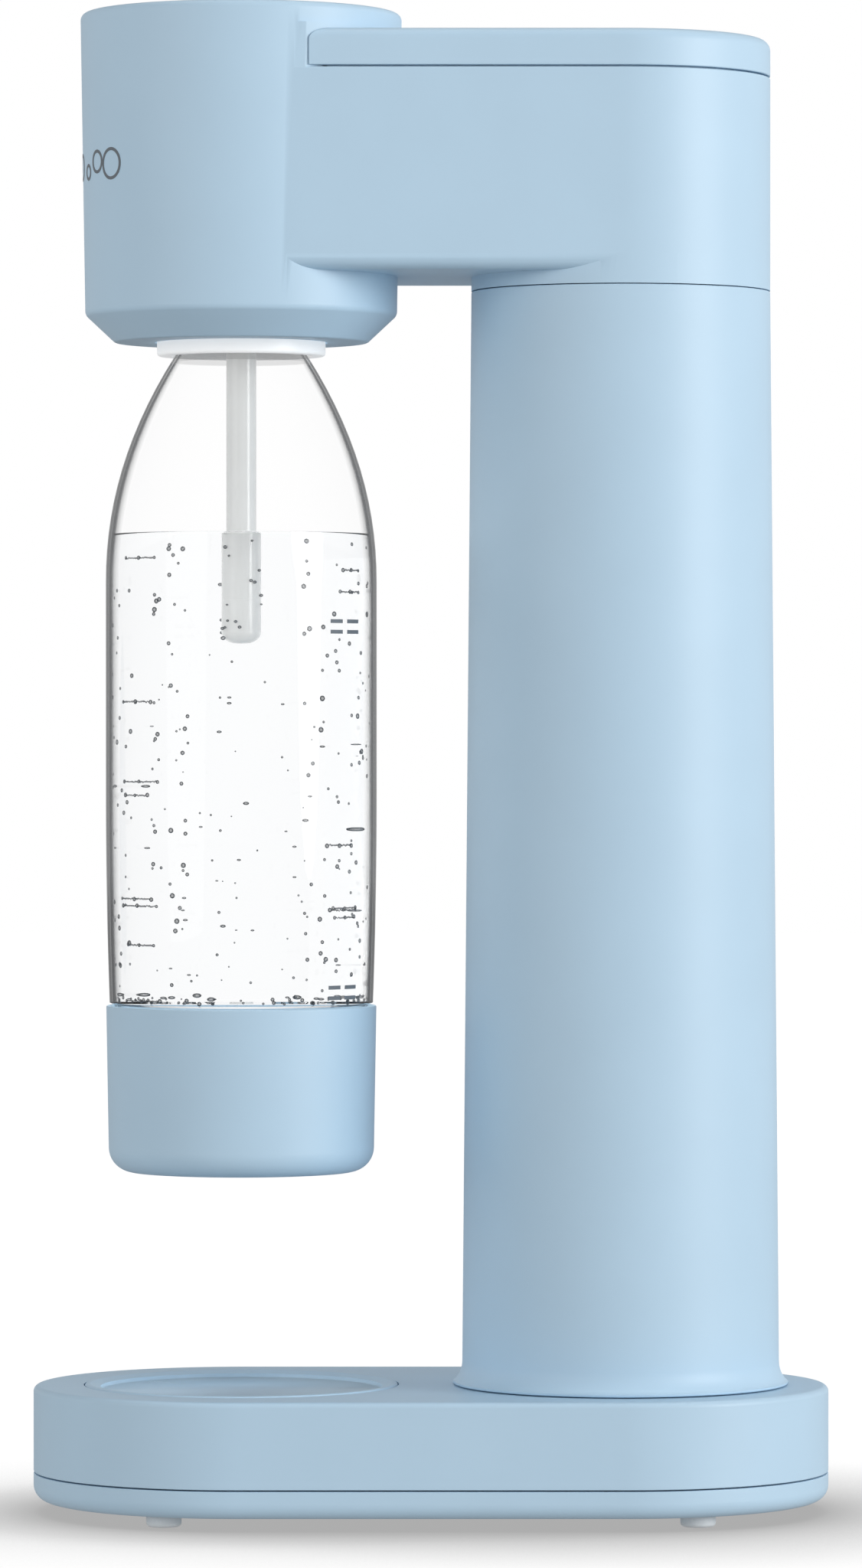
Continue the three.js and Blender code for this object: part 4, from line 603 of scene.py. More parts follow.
def base_housing():
    bottom, top = low("base_housing").z, BASE_TOP
    bottom -= 0.1 * MM
    outer = rounded([(CAP, bottom), (BASE_HALF, bottom, 0.3 * MM), (BASE_HALF, top, 1.8 * MM), (CAP, top)],
                    10)
    housing = racetrack("base_housing_skin", outer)
    inner = BASE_HALF - 3 * MM
    deck = top - 3 * MM
    hollow = rounded([(CAP, bottom - OVERSHOOT), (inner, bottom - OVERSHOOT), (inner, deck, MM),
                      (CAP, deck)], 3)
    carve(housing, racetrack("cut", hollow))
    tray = half_width("drip_tray")
    lip_step = 1.5 * MM
    carve(
        housing,
        hole(tray - 2.4 * MM, deck - OVERSHOOT, top + OVERSHOOT, HEAD),
        hole(tray + FIT, top - lip_step, top + OVERSHOOT, HEAD),
        hole(33.7 * MM, deck - OVERSHOOT, top + OVERSHOOT, COLUMN),
    )
    soften(housing, 0.25 * MM)
    finished(smooth(housing), "shell_blue", "machine", "base_housing")


def feet():
    for corner in CORNERS:
        node = f"foot_{corner}"
        place = middle(node)
        shoulder = low("base_plate").z - FIT
        outline = rounded([
            (0, 0), (5 * MM, 0, 1.2 * MM), (5 * MM, shoulder, 0.3 * MM), (3 * MM, shoulder),
            (3 * MM, high(node).z, 0.4 * MM), (0, high(node).z),
        ])
        foot = turned(f"{node}_pad", outline, place[:2], SMALL_SIDES)
        finished(smooth(foot), "rubber_pale", "machine", node)


def drip_tray():
    lip = high("drip_tray").z
    radius = half_width("drip_tray")
    neck = radius - 2.7 * MM
    wall = 1.8 * MM
    bottom = lip - 9.5 * MM
    shoulder = lip - 0.9 * MM
    under = BASE_TOP - 1.2 * MM
    steps = 20
    dish, shell = [], []
    for step in range(1, steps + 1):
        angle = step / steps * math.pi / 2
        flat = 0.5 + 0.5 * math.sin(angle)
        dish.append(((neck - wall) * flat, shoulder - (shoulder - bottom) * math.cos(angle)))
        shell.append((neck * flat, under - (under - bottom + wall) * math.cos(angle)))
    outline = [(0, bottom - wall), (neck / 2, bottom - wall)] + shell
    outline += rounded([(neck, under), (radius, under, 0.3 * MM), (radius, lip, 0.8 * MM),
                        (radius - 1.6 * MM, lip, 1.2 * MM), (neck - wall, shoulder)])[1:-1]
    outline += list(reversed(dish)) + [((neck - wall) / 2, bottom), (0, bottom)]
    tray = turned("drip_tray_bowl", outline, HEAD)
    finished(smooth(tray, 50), "shell_blue", "tray", "drip_tray")


# ---- Column ----


def column_shell():
    bottom, top = heights("column_shell")
    foot, flare, flare_height = 45.5 * MM, 2.6 * MM, 6 * MM
    steps = 12
    sweep = []
    for step in range(steps + 1):
        share = step / steps
        reach = foot + flare * (1 - math.sin(share * math.pi / 2))
        sweep.append((reach, bottom + 0.8 * MM + flare_height * share ** 1.4))
    outline = [(foot - SHELL_WALL, bottom), (foot + flare - 0.3 * MM, bottom),
               (foot + flare, bottom + 0.3 * MM)]
    outline += sweep
    outline += rounded([(ARM_HALF, top - 20 * MM), (ARM_HALF, top, 0.4 * MM),
                        (ARM_HALF - SHELL_WALL, top)])[1:]
    column = turned("column_shell_skin", outline, COLUMN)
    finished(smooth(column, 50), "shell_blue", "machine", "column_shell")


# ---- Upper housing and lid ----


def head_outline():
    waist = HEAD_RADIUS - HEAD_TAPER
    return rounded([
        (0, HEAD_BOTTOM), (waist - CHAMFER_RUN, HEAD_BOTTOM, 1.5 * MM),
        (waist, HEAD_BOTTOM + CHAMFER_RISE, 2.5 * MM),
        (HEAD_RADIUS, HEAD_TOP, 2 * MM), (0, HEAD_TOP),
    ], 8)


def head_cavity():
    waist = HEAD_RADIUS - HEAD_TAPER - SHELL_WALL
    floor = HEAD_BOTTOM + SHELL_WALL
    ring = 24.8 * MM
    well = HEAD_RADIUS - 4.1 * MM
    rim = HEAD_TOP - 3 * MM
    return turned("cut", [
        (0, HEAD_BOTTOM - OVERSHOOT), (ring, HEAD_BOTTOM - OVERSHOOT), (ring, floor),
        (waist - CHAMFER_RUN, floor),
        (waist, floor + CHAMFER_RISE), (HEAD_RADIUS - SHELL_WALL, rim), (well, rim),
        (well, HEAD_TOP + OVERSHOOT),
        (0, HEAD_TOP + OVERSHOOT),
    ], HEAD)


def upper_housing():
    seam = LID_Z - 0.5 * MM
    bore = ARM_HALF - SHELL_WALL
    arm_outline = rounded([(CAP, ARM_Z), (ARM_HALF, ARM_Z, 4.5 * MM), (ARM_HALF, seam, 0.35 * MM),
                           (CAP, seam)], 10)
    housing = racetrack("upper_housing_skin", arm_outline)
    unite(
        housing,
        turned("join", head_outline(), HEAD),
        drum("join", ARM_HALF, NECK_Z, ARM_Z + 8 * MM, COLUMN),
    )
    collar = drum("join", HEAD_RADIUS + 0.8 * MM, ARM_Z + 6 * MM, LID_TOP + 1.6 * MM, HEAD)
    side = ARM_HALF - 0.02 * MM
    behind = box_piece("keep", (-side, side), (HEAD_Y, COLUMN_Y), (ARM_Z, HEAD_TOP))
    combined(collar, behind, "INTERSECT")
    unite(housing, collar)
    arm_hollow = racetrack("cut", rounded([
        (CAP, ARM_FLOOR), (bore, ARM_FLOOR, 2 * MM), (bore, seam + OVERSHOOT), (CAP, seam + OVERSHOOT),
    ]))
    carve(arm_hollow, hole(HEAD_RADIUS, HEAD_BOTTOM, HEAD_TOP, HEAD))
    window = box_piece(
        "cut", (-14 * MM, 14 * MM), (HEAD_Y + HEAD_RADIUS / 2, HEAD_Y + HEAD_RADIUS + OVERSHOOT),
        (ARM_FLOOR + OVERSHOOT, seam - SHELL_WALL),
    )
    carve(
        housing, head_cavity(), arm_hollow,
        hole(bore, NECK_Z - OVERSHOOT, ARM_Z, COLUMN), window,
        hole(13.8 * MM, NECK_Z, ARM_FLOOR + OVERSHOOT, COLUMN),
    )
    soften(housing, 0.3 * MM)
    finished(smooth(housing), "shell_blue", "machine", "upper_housing")


def arm_lid():
    outline = rounded([
        (CAP, LID_Z), (ARM_HALF, LID_Z, 0.35 * MM), (ARM_HALF, LID_TOP, 3.3 * MM), (CAP, LID_TOP),
    ], 12)
    lid = racetrack("arm_lid_skin", outline)
    skirt = ARM_HALF - SHELL_WALL - FIT
    skirt_z = low("arm_lid").z
    unite(lid, racetrack("join", [(CAP, skirt_z), (skirt, skirt_z), (skirt, LID_Z + MM), (CAP, LID_Z + MM)]))
    front = HEAD_RADIUS + 1.3 * MM
    carve(lid, hole(front, skirt_z - MM, HEAD_TOP, HEAD))
    inner = skirt - 1.6 * MM
    hollow = racetrack("cut", [(CAP, skirt_z - MM), (inner, skirt_z - MM), (inner, LID_TOP - SHELL_WALL),
                               (CAP, LID_TOP - SHELL_WALL)])
    carve(hollow, hole(front + SHELL_WALL, skirt_z - 2 * MM, HEAD_TOP, HEAD))
    carve(lid, hollow)
    soften(lid, 0.5 * MM)
    finished(smooth(lid), "shell_blue", "lid", "arm_lid")


# ---- Button ----


def press_button():
    radius = half_width("press_button")
    top, stem_z = high("press_button").z, low("press_button").z
    cap, skirt = top - 4 * MM, top - 14.5 * MM
    outline = rounded([
        (0, stem_z), (6 * MM, stem_z, 0.8 * MM), (6 * MM, cap, MM), (radius - 2 * MM, cap, MM),
        (radius - 2 * MM, skirt), (radius, skirt, 0.4 * MM), (radius, top, 1.2 * MM),
        (radius * 0.8, top, 12 * MM), (0, top - 1.4 * MM),
    ], 8)
    finished(smooth(turned("press_button_cap", outline, HEAD), 40), "shell_blue", "button", "press_button")


def button_guide():
    bore = half_width("press_button") + FIT
    outer = half_width("button_guide")
    bottom, top = heights("button_guide")
    outline = rounded([
        (8.5 * MM, bottom, 0.3 * MM), (bore + 1.8 * MM, bottom, 0.5 * MM),
        (bore + 1.8 * MM, top - 2 * MM, 0.5 * MM),
        (outer, top - 2 * MM), (outer, top, 0.5 * MM), (bore, top, 0.5 * MM),
        (bore, bottom + 2 * MM, 0.5 * MM),
        (8.5 * MM, bottom + 2 * MM, 0.3 * MM),
    ])
    guide = turned("button_guide_ring", outline, HEAD)
    finished(smooth(guide, 40), "white_plastic", "machine", "button_guide")


# ---- Bottle ----

SHOULDER_TOP = low("bottle_lock_ring").z
SHOULDER_Z = SHOULDER_TOP - 64.8 * MM
BOTTLE_RADIUS = half_width("bottle")
CUP_TOP = high("bottle_cup").z
BOTTLE_WALL = 0.9 * MM
NECK_FOOT = 19.1 * MM        # half-width where the shoulder meets the neck
SIDE_START = CUP_TOP + 0.9 * MM
WATER_TOP = low("bottle").z + 179.8 * MM


def bottle_radius(z):
    """Half-width of the bottle at a height: a parabola at the shoulder and a slight taper below."""
    taper_top = (SHOULDER_Z + CUP_TOP) / 2
    if z >= SHOULDER_Z:
        rise = (z - SHOULDER_Z) / (SHOULDER_TOP - SHOULDER_Z)
        return BOTTLE_RADIUS - (BOTTLE_RADIUS - NECK_FOOT) * rise ** 2.08
    if z >= taper_top:
        return BOTTLE_RADIUS
    fall = (taper_top - z) / (taper_top - CUP_TOP)
    return BOTTLE_RADIUS - 1.1 * MM * fall * fall


def bottle_side(bottom, top, inset, steps=40):
    heights = [bottom + (top - bottom) * step / steps for step in range(steps + 1)]
    return [(bottle_radius(z) - inset, z) for z in heights]


def bottle_base(inset):
    bottom = low("bottle").z + 1.4 * MM
    radius = 36.5 * MM
    corner = 7 * MM
    return rounded([
        (0, bottom + 2 * MM + inset), (radius * 0.5, bottom + inset, 12 * MM),
        (radius - inset, bottom + inset, corner),
        (radius - inset, CUP_TOP + FIT),
    ])


def bottle():
    neck, neck_z = 15.5 * MM, RING_TOP - 2.5 * MM
    mouth = high("bottle").z
    lip = 16.1 * MM
    outer = bottle_base(0) + bottle_side(SIDE_START, SHOULDER_TOP, 0)
    outer += rounded([(NECK_FOOT, SHOULDER_TOP), (neck, neck_z, 3 * MM), (neck, mouth - 3 * MM),
                      (lip, mouth - 2.4 * MM, 0.3 * MM),
                      (lip, mouth, 0.6 * MM), (neck - 2 * MM, mouth, 0.6 * MM)])[1:]
    inner = bottle_base(BOTTLE_WALL) + bottle_side(SIDE_START, SHOULDER_TOP, BOTTLE_WALL)
    inner += [(neck - 2 * MM, neck_z + MM), (neck - 2 * MM, mouth - 2 * MM)]
    piece = turned("bottle_clear", outer + list(reversed(inner)), HEAD, 128)
    finished(smooth(piece, 60), "clear_plastic", "bottle", "bottle")


def water():
    inset = BOTTLE_WALL + 0.04 * MM
    side = bottle_side(SIDE_START, WATER_TOP - 0.8 * MM, inset)
    top_radius = bottle_radius(WATER_TOP) - inset
    outline = bottle_base(inset) + side
    outline += [(top_radius, WATER_TOP), (top_radius - 1.2 * MM, WATER_TOP - 0.5 * MM),
                (top_radius - 4 * MM, WATER_TOP - 0.8 * MM), (0, WATER_TOP - 0.8 * MM)]
    piece = turned("water", outline, HEAD, 128)
    finished(smooth(piece, 60), "clear_plastic", "bottle", material=water_clear)


def bottle_cup():
    radius = half_width("bottle_cup")
    bottom, top = low("bottle_cup").z, CUP_TOP
    wall = 1.6 * MM
    outline = rounded([
        (0, bottom + 0.6 * MM), (20 * MM, bottom + 0.6 * MM, MM), (22 * MM, bottom, MM),
        (radius - 0.8 * MM, bottom, 7 * MM), (radius, top, 0.4 * MM), (radius - wall, top, 0.4 * MM),
        (radius - wall, bottom + wall, 7 * MM), (0, bottom + wall),
    ], 10)
    boot = finished(smooth(turned("bottle_cup_boot", outline, HEAD), 40), "shell_blue", "bottle",
                    "bottle_cup")
    # the inner faces take the painted glow, which lifts their shade
    boot.data.materials.append(cup_inside)
    for face in boot.data.polygons:
        outward = Vector((face.center.x - HEAD[0], face.center.y - HEAD[1], 0))
        faces_in = face.normal.dot(outward) < 0 or face.normal.z > 0.9
        face.material_index = int(faces_in and face.center.z > bottom + wall - MM / 2)


def lock_ring():
    bottom, top = low("bottle_lock_ring").z, RING_TOP
    seat = top - 2.5 * MM
    outline = rounded([
        (20.3 * MM, bottom, 0.3 * MM), (24.2 * MM, bottom, 0.9 * MM), (24.2 * MM, seat),
        (30 * MM, seat, 0.3 * MM),
        (30 * MM, top, 0.3 * MM), (17 * MM, top, 0.3 * MM), (17 * MM, seat - MM, 0.5 * MM),
        (20.3 * MM, bottom + 0.7 * MM, 0.3 * MM),
    ])
    ring = turned("bottle_lock_ring_collar", outline, HEAD)
    finished(smooth(ring, 40), "white_plastic", "lock_ring", "bottle_lock_ring")


# ---- Nozzle ----


def nozzle():
    tube_low, tube_high = heights("nozzle_tube")
    radius = 4.3 * MM
    tube = turned("nozzle_tube_milky", rounded([
        (1.6 * MM, tube_low), (radius, tube_low), (radius, tube_high, 0.3 * MM), (1.6 * MM, tube_high),
    ]), HEAD, 64)
    finished(smooth(tube), "milky_plastic", "machine", "nozzle_tube")
    tip_low, tip_high = heights("nozzle_tip")
    joint = tube_low - 0.02 * MM
    tip = turned("nozzle_tip_milky", rounded([
        (0.5 * MM, tip_low), (radius, tip_low, 3.4 * MM), (radius, joint),
        (1.3 * MM, joint), (1.3 * MM, tip_high), (0.5 * MM, tip_high),
    ]), HEAD, 64)
    finished(smooth(tip), "milky_plastic", "machine", "nozzle_tip")


# ---- Bubbles, level marks and printed mark ----

BUBBLE_SEED = 7


def on_cylinder(radius, angle, z):
    return (HEAD[0] + radius * math.cos(angle), HEAD[1] + radius * math.sin(angle), z)


def bubble_places():
    """Bubbles on the wall and round the nozzle, each with its share of the full size.

    On the wall they are streams, level rows, strays and a ring above the cup.
    """
    chance = random.Random(BUBBLE_SEED)
    floor = CUP_TOP + 1.6 * MM
    ceiling = WATER_TOP - 1.5 * MM
    places = []

    def cling(degrees, z, share):
        inset = BOTTLE_WALL + (0.25 + 0.75 * share) * MM
        places.append((on_cylinder(bottle_radius(z) - inset, math.radians(degrees), z), share))

    for face in (0, 180):
        for stream in (-75, -68, -58, -40, -31, -24, 32, 40, 48, 58, 66, 74):
            for _ in range(15):
                z = floor + (ceiling - floor) * chance.random() ** 0.9
                cling(face + stream + chance.gauss(0, 1.6), z, 0.45 + 0.55 * chance.random())
        for start, turn in ((-62, 24), (-60, 20), (-63, 24), (-60, 16), (-62, 20), (-61, 23), (-64, 22),
                            (-59, 18),
                            (42, 16), (47, 14), (50, 14), (44, 18), (52, 12), (46, 16)):
            z = floor + (ceiling - floor) * chance.random()
            count = round(turn * 1.3)
            for step in range(count + 1):
                end = step in (0, count // 2, count)
                cling(face + start + turn * step / count, z + chance.gauss(0, 0.08 * MM),
                      0.8 if end else 0.34)
        for _ in range(46):
            height = (ceiling - floor) * 0.75 * chance.random() ** 1.3
            cling(face + chance.uniform(-40, 36), floor + height, 0.3 + 0.25 * chance.random())
        for _ in range(70):
            cling(face + chance.uniform(-90, 90), floor + abs(chance.gauss(0, 0.9 * MM)),
                  0.4 + 0.5 * chance.random())
    for _ in range(34):
        height = low("nozzle_tip").z + 1.5 * MM + 28 * MM * chance.random()
        places.append((on_cylinder(4.7 * MM, 2 * math.pi * chance.random(), height),
                       0.4 + 0.3 * chance.random()))
    return places


def bubble_cluster():
    """Turns each place into a small round bubble, with sizes that vary from the seed."""
    places = bubble_places()
    piece = new_piece("bubbles", [place for place, share in places])
    shares = piece.data.attributes.new("share", "FLOAT", "POINT")
    for index, (place, share) in enumerate(places):
        shares.data[index].value = share

    def balls(group, given):
        points = add(group, "GeometryNodeMeshToPoints", {"Mesh": given["Geometry"]})
        ball = add(group, "GeometryNodeMeshIcoSphere", {"Radius": 1, "Subdivisions": 2})
        shade = add(group, "GeometryNodeSetShadeSmooth", {"Geometry": ball.outputs["Mesh"]})
        size = random_float(group, given["Smallest radius"], given["Largest radius"], given["Seed"])
        share = add(group, "GeometryNodeInputNamedAttribute", {"Name": "share"}, data_type="FLOAT")
        scale = add(group, "ShaderNodeMath", {0: size, 1: float_sockets(share.outputs)[0]},
                    operation="MULTIPLY")
        instances = add(group, "GeometryNodeInstanceOnPoints", {
            "Points": points.outputs["Points"], "Instance": shade.outputs["Geometry"],
            "Scale": scale.outputs["Value"]})
        return instances.outputs["Instances"]

    grown(piece, "bubbles", {
        "Smallest radius": ("Float", 0.62 * MM), "Largest radius": ("Float", 0.92 * MM),
        "Seed": ("Int", BUBBLE_SEED)}, bubble_air, balls)
    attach(piece, "bottle")


def wrapped_patch(name, outline_radius, inner, outer, thickness):
    """A thin closed patch laid on the head's axis: two loops of (angle, z) at two depths."""
    count = len(outer)
    vertices, faces = [], []
    for depth in (0, thickness):
        for loop in (inner, outer):
            vertices.extend(on_cylinder(outline_radius(z) + depth, angle, z) for angle, z in loop)
    for index in range(count):
        after = (index + 1) % count
        a, b, c, d = index, count + index, 2 * count + index, 3 * count + index
        e, f, g, h = after, count + after, 2 * count + after, 3 * count + after
        faces += [(a, b, f, e), (c, g, h, d), (a, e, g, c), (b, d, h, f)]
    return new_piece(name, vertices, faces)


def joined_piece(name, pieces):
    vertices, faces = [], []
    for piece in pieces:
        start = len(vertices)
        vertices.extend(tuple(v.co) for v in piece.data.vertices)
        faces.extend(tuple(start + index for index in polygon.vertices) for polygon in piece.data.polygons)
        bpy.data.objects.remove(piece)
    return new_piece(name, vertices, faces)


def level_marks():
    """Short dashes on the bottle, in a pair of rows at the fill level and another above the cup."""
    dashes = []
    for height in (low("bottle").z + 153 * MM, low("bottle").z + 49 * MM):
        for row in (-1.5 * MM, 1.5 * MM):
            for start, end in ((42, 49), (52, 60)):
                half = 0.55 * MM
                middle_z = height + row
                angles = [math.radians(start + (end - start) * step / 6) for step in range(7)]
                outer = [(a, middle_z - half) for a in angles] + [(a,
                                                                   middle_z + half) for a in reversed(angles)]
                centre = (sum(angles) / 7, middle_z)
                inner = [(centre[0] + (a - centre[0]) * 0.02, centre[1] + (z - centre[1]) * 0.02) for a,
                         z in outer]
                dashes.append(wrapped_patch("dash", lambda z: bottle_radius(z) + 0.02 * MM, inner, outer,
                                            0.12 * MM))
    marks = joined_piece("bottle_level_marks", dashes)
    finished(marks, "clear_plastic", "bottle", material=print_grey)


def head_mark():
    """A row of plain rings printed on the head's front, like rising bubbles."""
    waist = HEAD_RADIUS - HEAD_TAPER
    waist_z = HEAD_BOTTOM + CHAMFER_RISE

    def skin(z):
        return waist + HEAD_TAPER * (z - waist_z) / (HEAD_TOP - waist_z) + 0.03 * MM

    rings = []
    centre_z = HEAD_BOTTOM + 49.5 * MM
    for angle, radius, rise in ((-37, 4.6, 0), (-25, 2.6, -1.8), (-16, 3.6, 1.2), (-4, 2.2, -2.2),
                                (6, 4.0, 0.4),
                                (18, 2.4, -1.6), (27, 3.4, 1.0), (37, 4.6, 0)):
        middle_angle = math.radians(angle - 90)
        loops = []
        for reach in (radius * MM - 0.9 * MM, radius * MM):
            loops.append([
                (middle_angle + reach * math.cos(t * math.pi / 20) / skin(centre_z),
                 centre_z + rise * MM + reach * math.sin(t * math.pi / 20))
                for t in range(40)
            ])
        rings.append(wrapped_patch("ring", skin, loops[0], loops[1], 0.05 * MM))
    mark = joined_piece("head_bubble_mark", rings)
    finished(smooth(mark, 40), "inner_grey", "machine", material=print_grey)


# ---- Works inside ----

GAS_HEAD_Z = low("gas_head").z + 12.2 * MM
GAS_BLOCK_Z = GAS_HEAD_Z + 3.8 * MM
GAS_HEAD_TOP = high("gas_head").z
VALVE_TOP = high("cylinder_valve").z
MIXER_Z = high("mixing_head").z - 16 * MM
MIXER_TOP = MIXER_Z + 5 * MM
RELIEF = tuple(middle("relief_body")[:2])
PIN_BORE = 1.9 * MM
GAS_PASSAGE = 1.2 * MM
END_TURN = 0.75              # of a turn that lies closed at each end of a spring


def along_y(piece, y, z):
    """Lays a piece turned about Z down along Y."""
    piece.data.transform(Matrix.Translation((0, y, z)) @ Matrix.Rotation(-math.pi / 2, 4, "X"))
    return piece


def along_x(piece, y, z):
    """Lays a piece turned about Z down along X."""
    piece.data.transform(Matrix.Translation((0, y, z)) @ Matrix.Rotation(math.pi / 2, 4, "Y"))
    return piece


def works_piece(node, suffix, corners, centre, slot, body, sides=64):
    """A fine turned piece that stands for one of the works' CAD nodes."""
    piece = turned(f"{node}_{suffix}", rounded(corners, 4), centre, sides)
    return finished(smooth(piece, 40), slot, body, node)


def dome(radius, neck, z, height, steps=14):
    """The curve of a gas cylinder's shoulder, from its body in to its neck."""
    angles = [math.pi / 2 * step / steps for step in range(steps + 1)]
    return [(neck + (radius - neck) * math.cos(a), z + height * math.sin(a)) for a in angles]


def gas_cylinder():
    bottom, top = heights("gas_cylinder")
    radius, neck, wall = 30 * MM, 13 * MM, 3 * MM
    shoulder, neck_bore = top - 44 * MM, 9 * MM
    bore, floor = radius - wall, bottom + wall
    outline = rounded([(0, bottom + 2.4 * MM), (12 * MM, bottom + 1.4 * MM, 20 * MM),
                       (21 * MM, bottom, 3 * MM),
                       (radius, bottom, 4 * MM), (radius, shoulder)], 8)[:-1]
    outline += dome(radius, neck, shoulder, 32 * MM) + [(neck, top - 0.6 * MM), (neck - 0.6 * MM, top),
                                                        (neck_bore, top)]
    outline += list(reversed(dome(bore, neck_bore, shoulder, 29 * MM))) + [(bore, floor + 4 * MM),
                                                                           (bore - 4 * MM, floor + 2 * MM),
                                                                          (0, floor + 2.4 * MM)]
    piece = turned("gas_cylinder_bottle", outline, COLUMN)
    finished(smooth(piece, 40), "aluminium", "cylinder", "gas_cylinder")


def cylinder_valve():
    bottom, collar = low("cylinder_valve").z, high("gas_cylinder").z + FIT
    collar_top = VALVE_TOP - 20.7 * MM
    stem, flange, thread, pitch = 8.7 * MM, 13.5 * MM, 10.6 * MM, 1.6 * MM
    corners = [(PIN_BORE, bottom), (stem, bottom, MM), (stem, collar), (flange, collar, MM),
               (flange, collar_top, MM)]
    z = collar_top + 2 * MM
    corners += [(thread - 0.8 * MM, collar_top), (thread - 0.8 * MM, z)]
    while z + pitch < VALVE_TOP - 2 * MM:
        corners += [(thread, z + 0.35 * pitch), (thread, z + 0.55 * pitch), (thread - 0.8 * MM, z + pitch)]
        z += pitch
    corners += [(thread - 0.8 * MM, VALVE_TOP, 0.6 * MM), (PIN_BORE, VALVE_TOP)]
    works_piece("cylinder_valve", "brass", corners, COLUMN, "brass", "cylinder")
    pin_low, pin_high = heights("valve_pin")
    works_piece("valve_pin", "rod",
                [(0, pin_low), (1.5 * MM, pin_low, 0.5 * MM), (1.5 * MM, pin_high, 0.4 * MM),
                                     (0, pin_high)], COLUMN, "steel", "valve_pin", 32)


def gas_head():
    socket, bore, gland = low("gas_head").z, 2.7 * MM, GAS_HEAD_TOP - 5 * MM
    inner = 10.9 * MM
    body = turned("gas_head_block", rounded([
        (inner, socket), (13.5 * MM, socket, 0.8 * MM), (13.5 * MM, GAS_HEAD_Z),
        (22 * MM, GAS_HEAD_Z, 0.4 * MM),
        (22 * MM, GAS_BLOCK_Z, 0.8 * MM), (14 * MM, GAS_BLOCK_Z, 0.8 * MM), (14 * MM, GAS_HEAD_TOP, MM),
        (bore, GAS_HEAD_TOP), (bore, gland + 2.4 * MM), (bore + 2.4 * MM, gland + 2.4 * MM),
        (bore + 2.4 * MM, gland),
        (bore, gland), (bore, GAS_BLOCK_Z + 2 * MM), (inner, GAS_BLOCK_Z + 2 * MM),
    ], 4), COLUMN, 96)
    spigot_z, end = GAS_BLOCK_Z + 10 * MM, 18.5 * MM
    unite(body,
          along_y(turned("join", [(0, -end), (4.5 * MM, -end), (4.5 * MM, -8 * MM), (0, -8 * MM)], sides=48),
                        COLUMN_Y, spigot_z))
    cutters = [along_y(hole(GAS_PASSAGE, -end - OVERSHOOT, -3.2 * MM, sides=24), COLUMN_Y, spigot_z)]
    for label in ("gas_head_screw_1", "gas_head_screw_2"):
        place = spot(label)
        cutters.append(hole(SCREW_HOLE, GAS_HEAD_Z - MM, GAS_BLOCK_Z + MM, place, 32))
        cutters.append(hole(SCREW_RECESS, GAS_BLOCK_Z, GAS_BLOCK_Z + 2.6 * MM, place, 32))
    carve(body, *cutters)
    finished(smooth(body, 40), "aluminium", "machine", "gas_head")


def gas_head_fittings():
    seal_low, seal_high = heights("gas_head_seal")
    works_piece("gas_head_seal", "washer", [
        (3.7 * MM, seal_low, 0.3 * MM), (10.2 * MM, seal_low, 0.4 * MM), (10.2 * MM, seal_high, 0.4 * MM),
        (3.7 * MM, seal_high, 0.3 * MM)], COLUMN, "rubber_dark", "machine")
    ring_z, ring = middle("plunger_seal").z, 0.85 * MM
    angles = [2 * math.pi * step / 16 for step in range(16)]
    works_piece("plunger_seal", "o_ring",
                [(3.55 * MM + ring * math.cos(a), ring_z + ring * math.sin(a)) for a in angles],
                COLUMN, "rubber_dark", "machine", 48)
    bottom, top = heights("plunger")
    cap = top - 3.5 * MM
    works_piece("plunger", "rod", [
        (0, bottom), (1.5 * MM, bottom, 0.3 * MM), (1.5 * MM, bottom + 2.4 * MM),
        (2.4 * MM, bottom + 2.8 * MM),
        (2.4 * MM, cap), (6 * MM, cap, 0.4 * MM), (6 * MM, top, 1.2 * MM), (0, top)], COLUMN, "steel",
        "plunger")


def mixing_head():
    skirt, hub_top = RING_TOP + FIT, high("mixing_head").z
    bore, hub = 4.2 * MM, 6 * MM
    body = turned("mixing_head_body", rounded([
        (bore, MIXER_Z), (19.5 * MM, MIXER_Z), (19.5 * MM, skirt, 0.5 * MM), (24 * MM, skirt, 0.6 * MM),
        (24 * MM, MIXER_Z),
        (33 * MM, MIXER_Z, 0.5 * MM), (33 * MM, MIXER_TOP, 0.8 * MM), (hub, MIXER_TOP, 1.2 * MM),
        (hub, hub_top, 0.8 * MM),
        (0, hub_top), (0, hub_top - 2 * MM), (bore, hub_top - 2 * MM),
    ], 4), HEAD, 96)
    inlet_z, end = MIXER_TOP + 6 * MM, 10.5 * MM
    unite(body,
          along_y(turned("join", [(0, 4.5 * MM), (4 * MM, 4.5 * MM), (4 * MM, end), (0, end)], sides=48),
                  HEAD_Y, inlet_z))
    cutters = [along_y(hole(GAS_PASSAGE, 3.2 * MM, end + OVERSHOOT, sides=24), HEAD_Y, inlet_z),
               hole(GAS_PASSAGE, MIXER_Z - MM, MIXER_TOP + MM, (10.4 * MM, HEAD_Y), 24)]
    carve(body, *cutters, *screw_holes("mixing_head_screw", 3, MIXER_Z - MM, MIXER_TOP + MM))
    finished(smooth(body, 40), "inner_grey", "machine", "mixing_head")
    seal_low, seal_high = heights("bottle_seal")
    works_piece("bottle_seal", "washer", [
        (12 * MM, seal_low, 0.6 * MM), (18.9 * MM, seal_low, 0.6 * MM), (18.9 * MM, seal_high, 0.6 * MM),
        (12 * MM, seal_high, 0.6 * MM)], HEAD, "rubber_dark", "machine", 96)


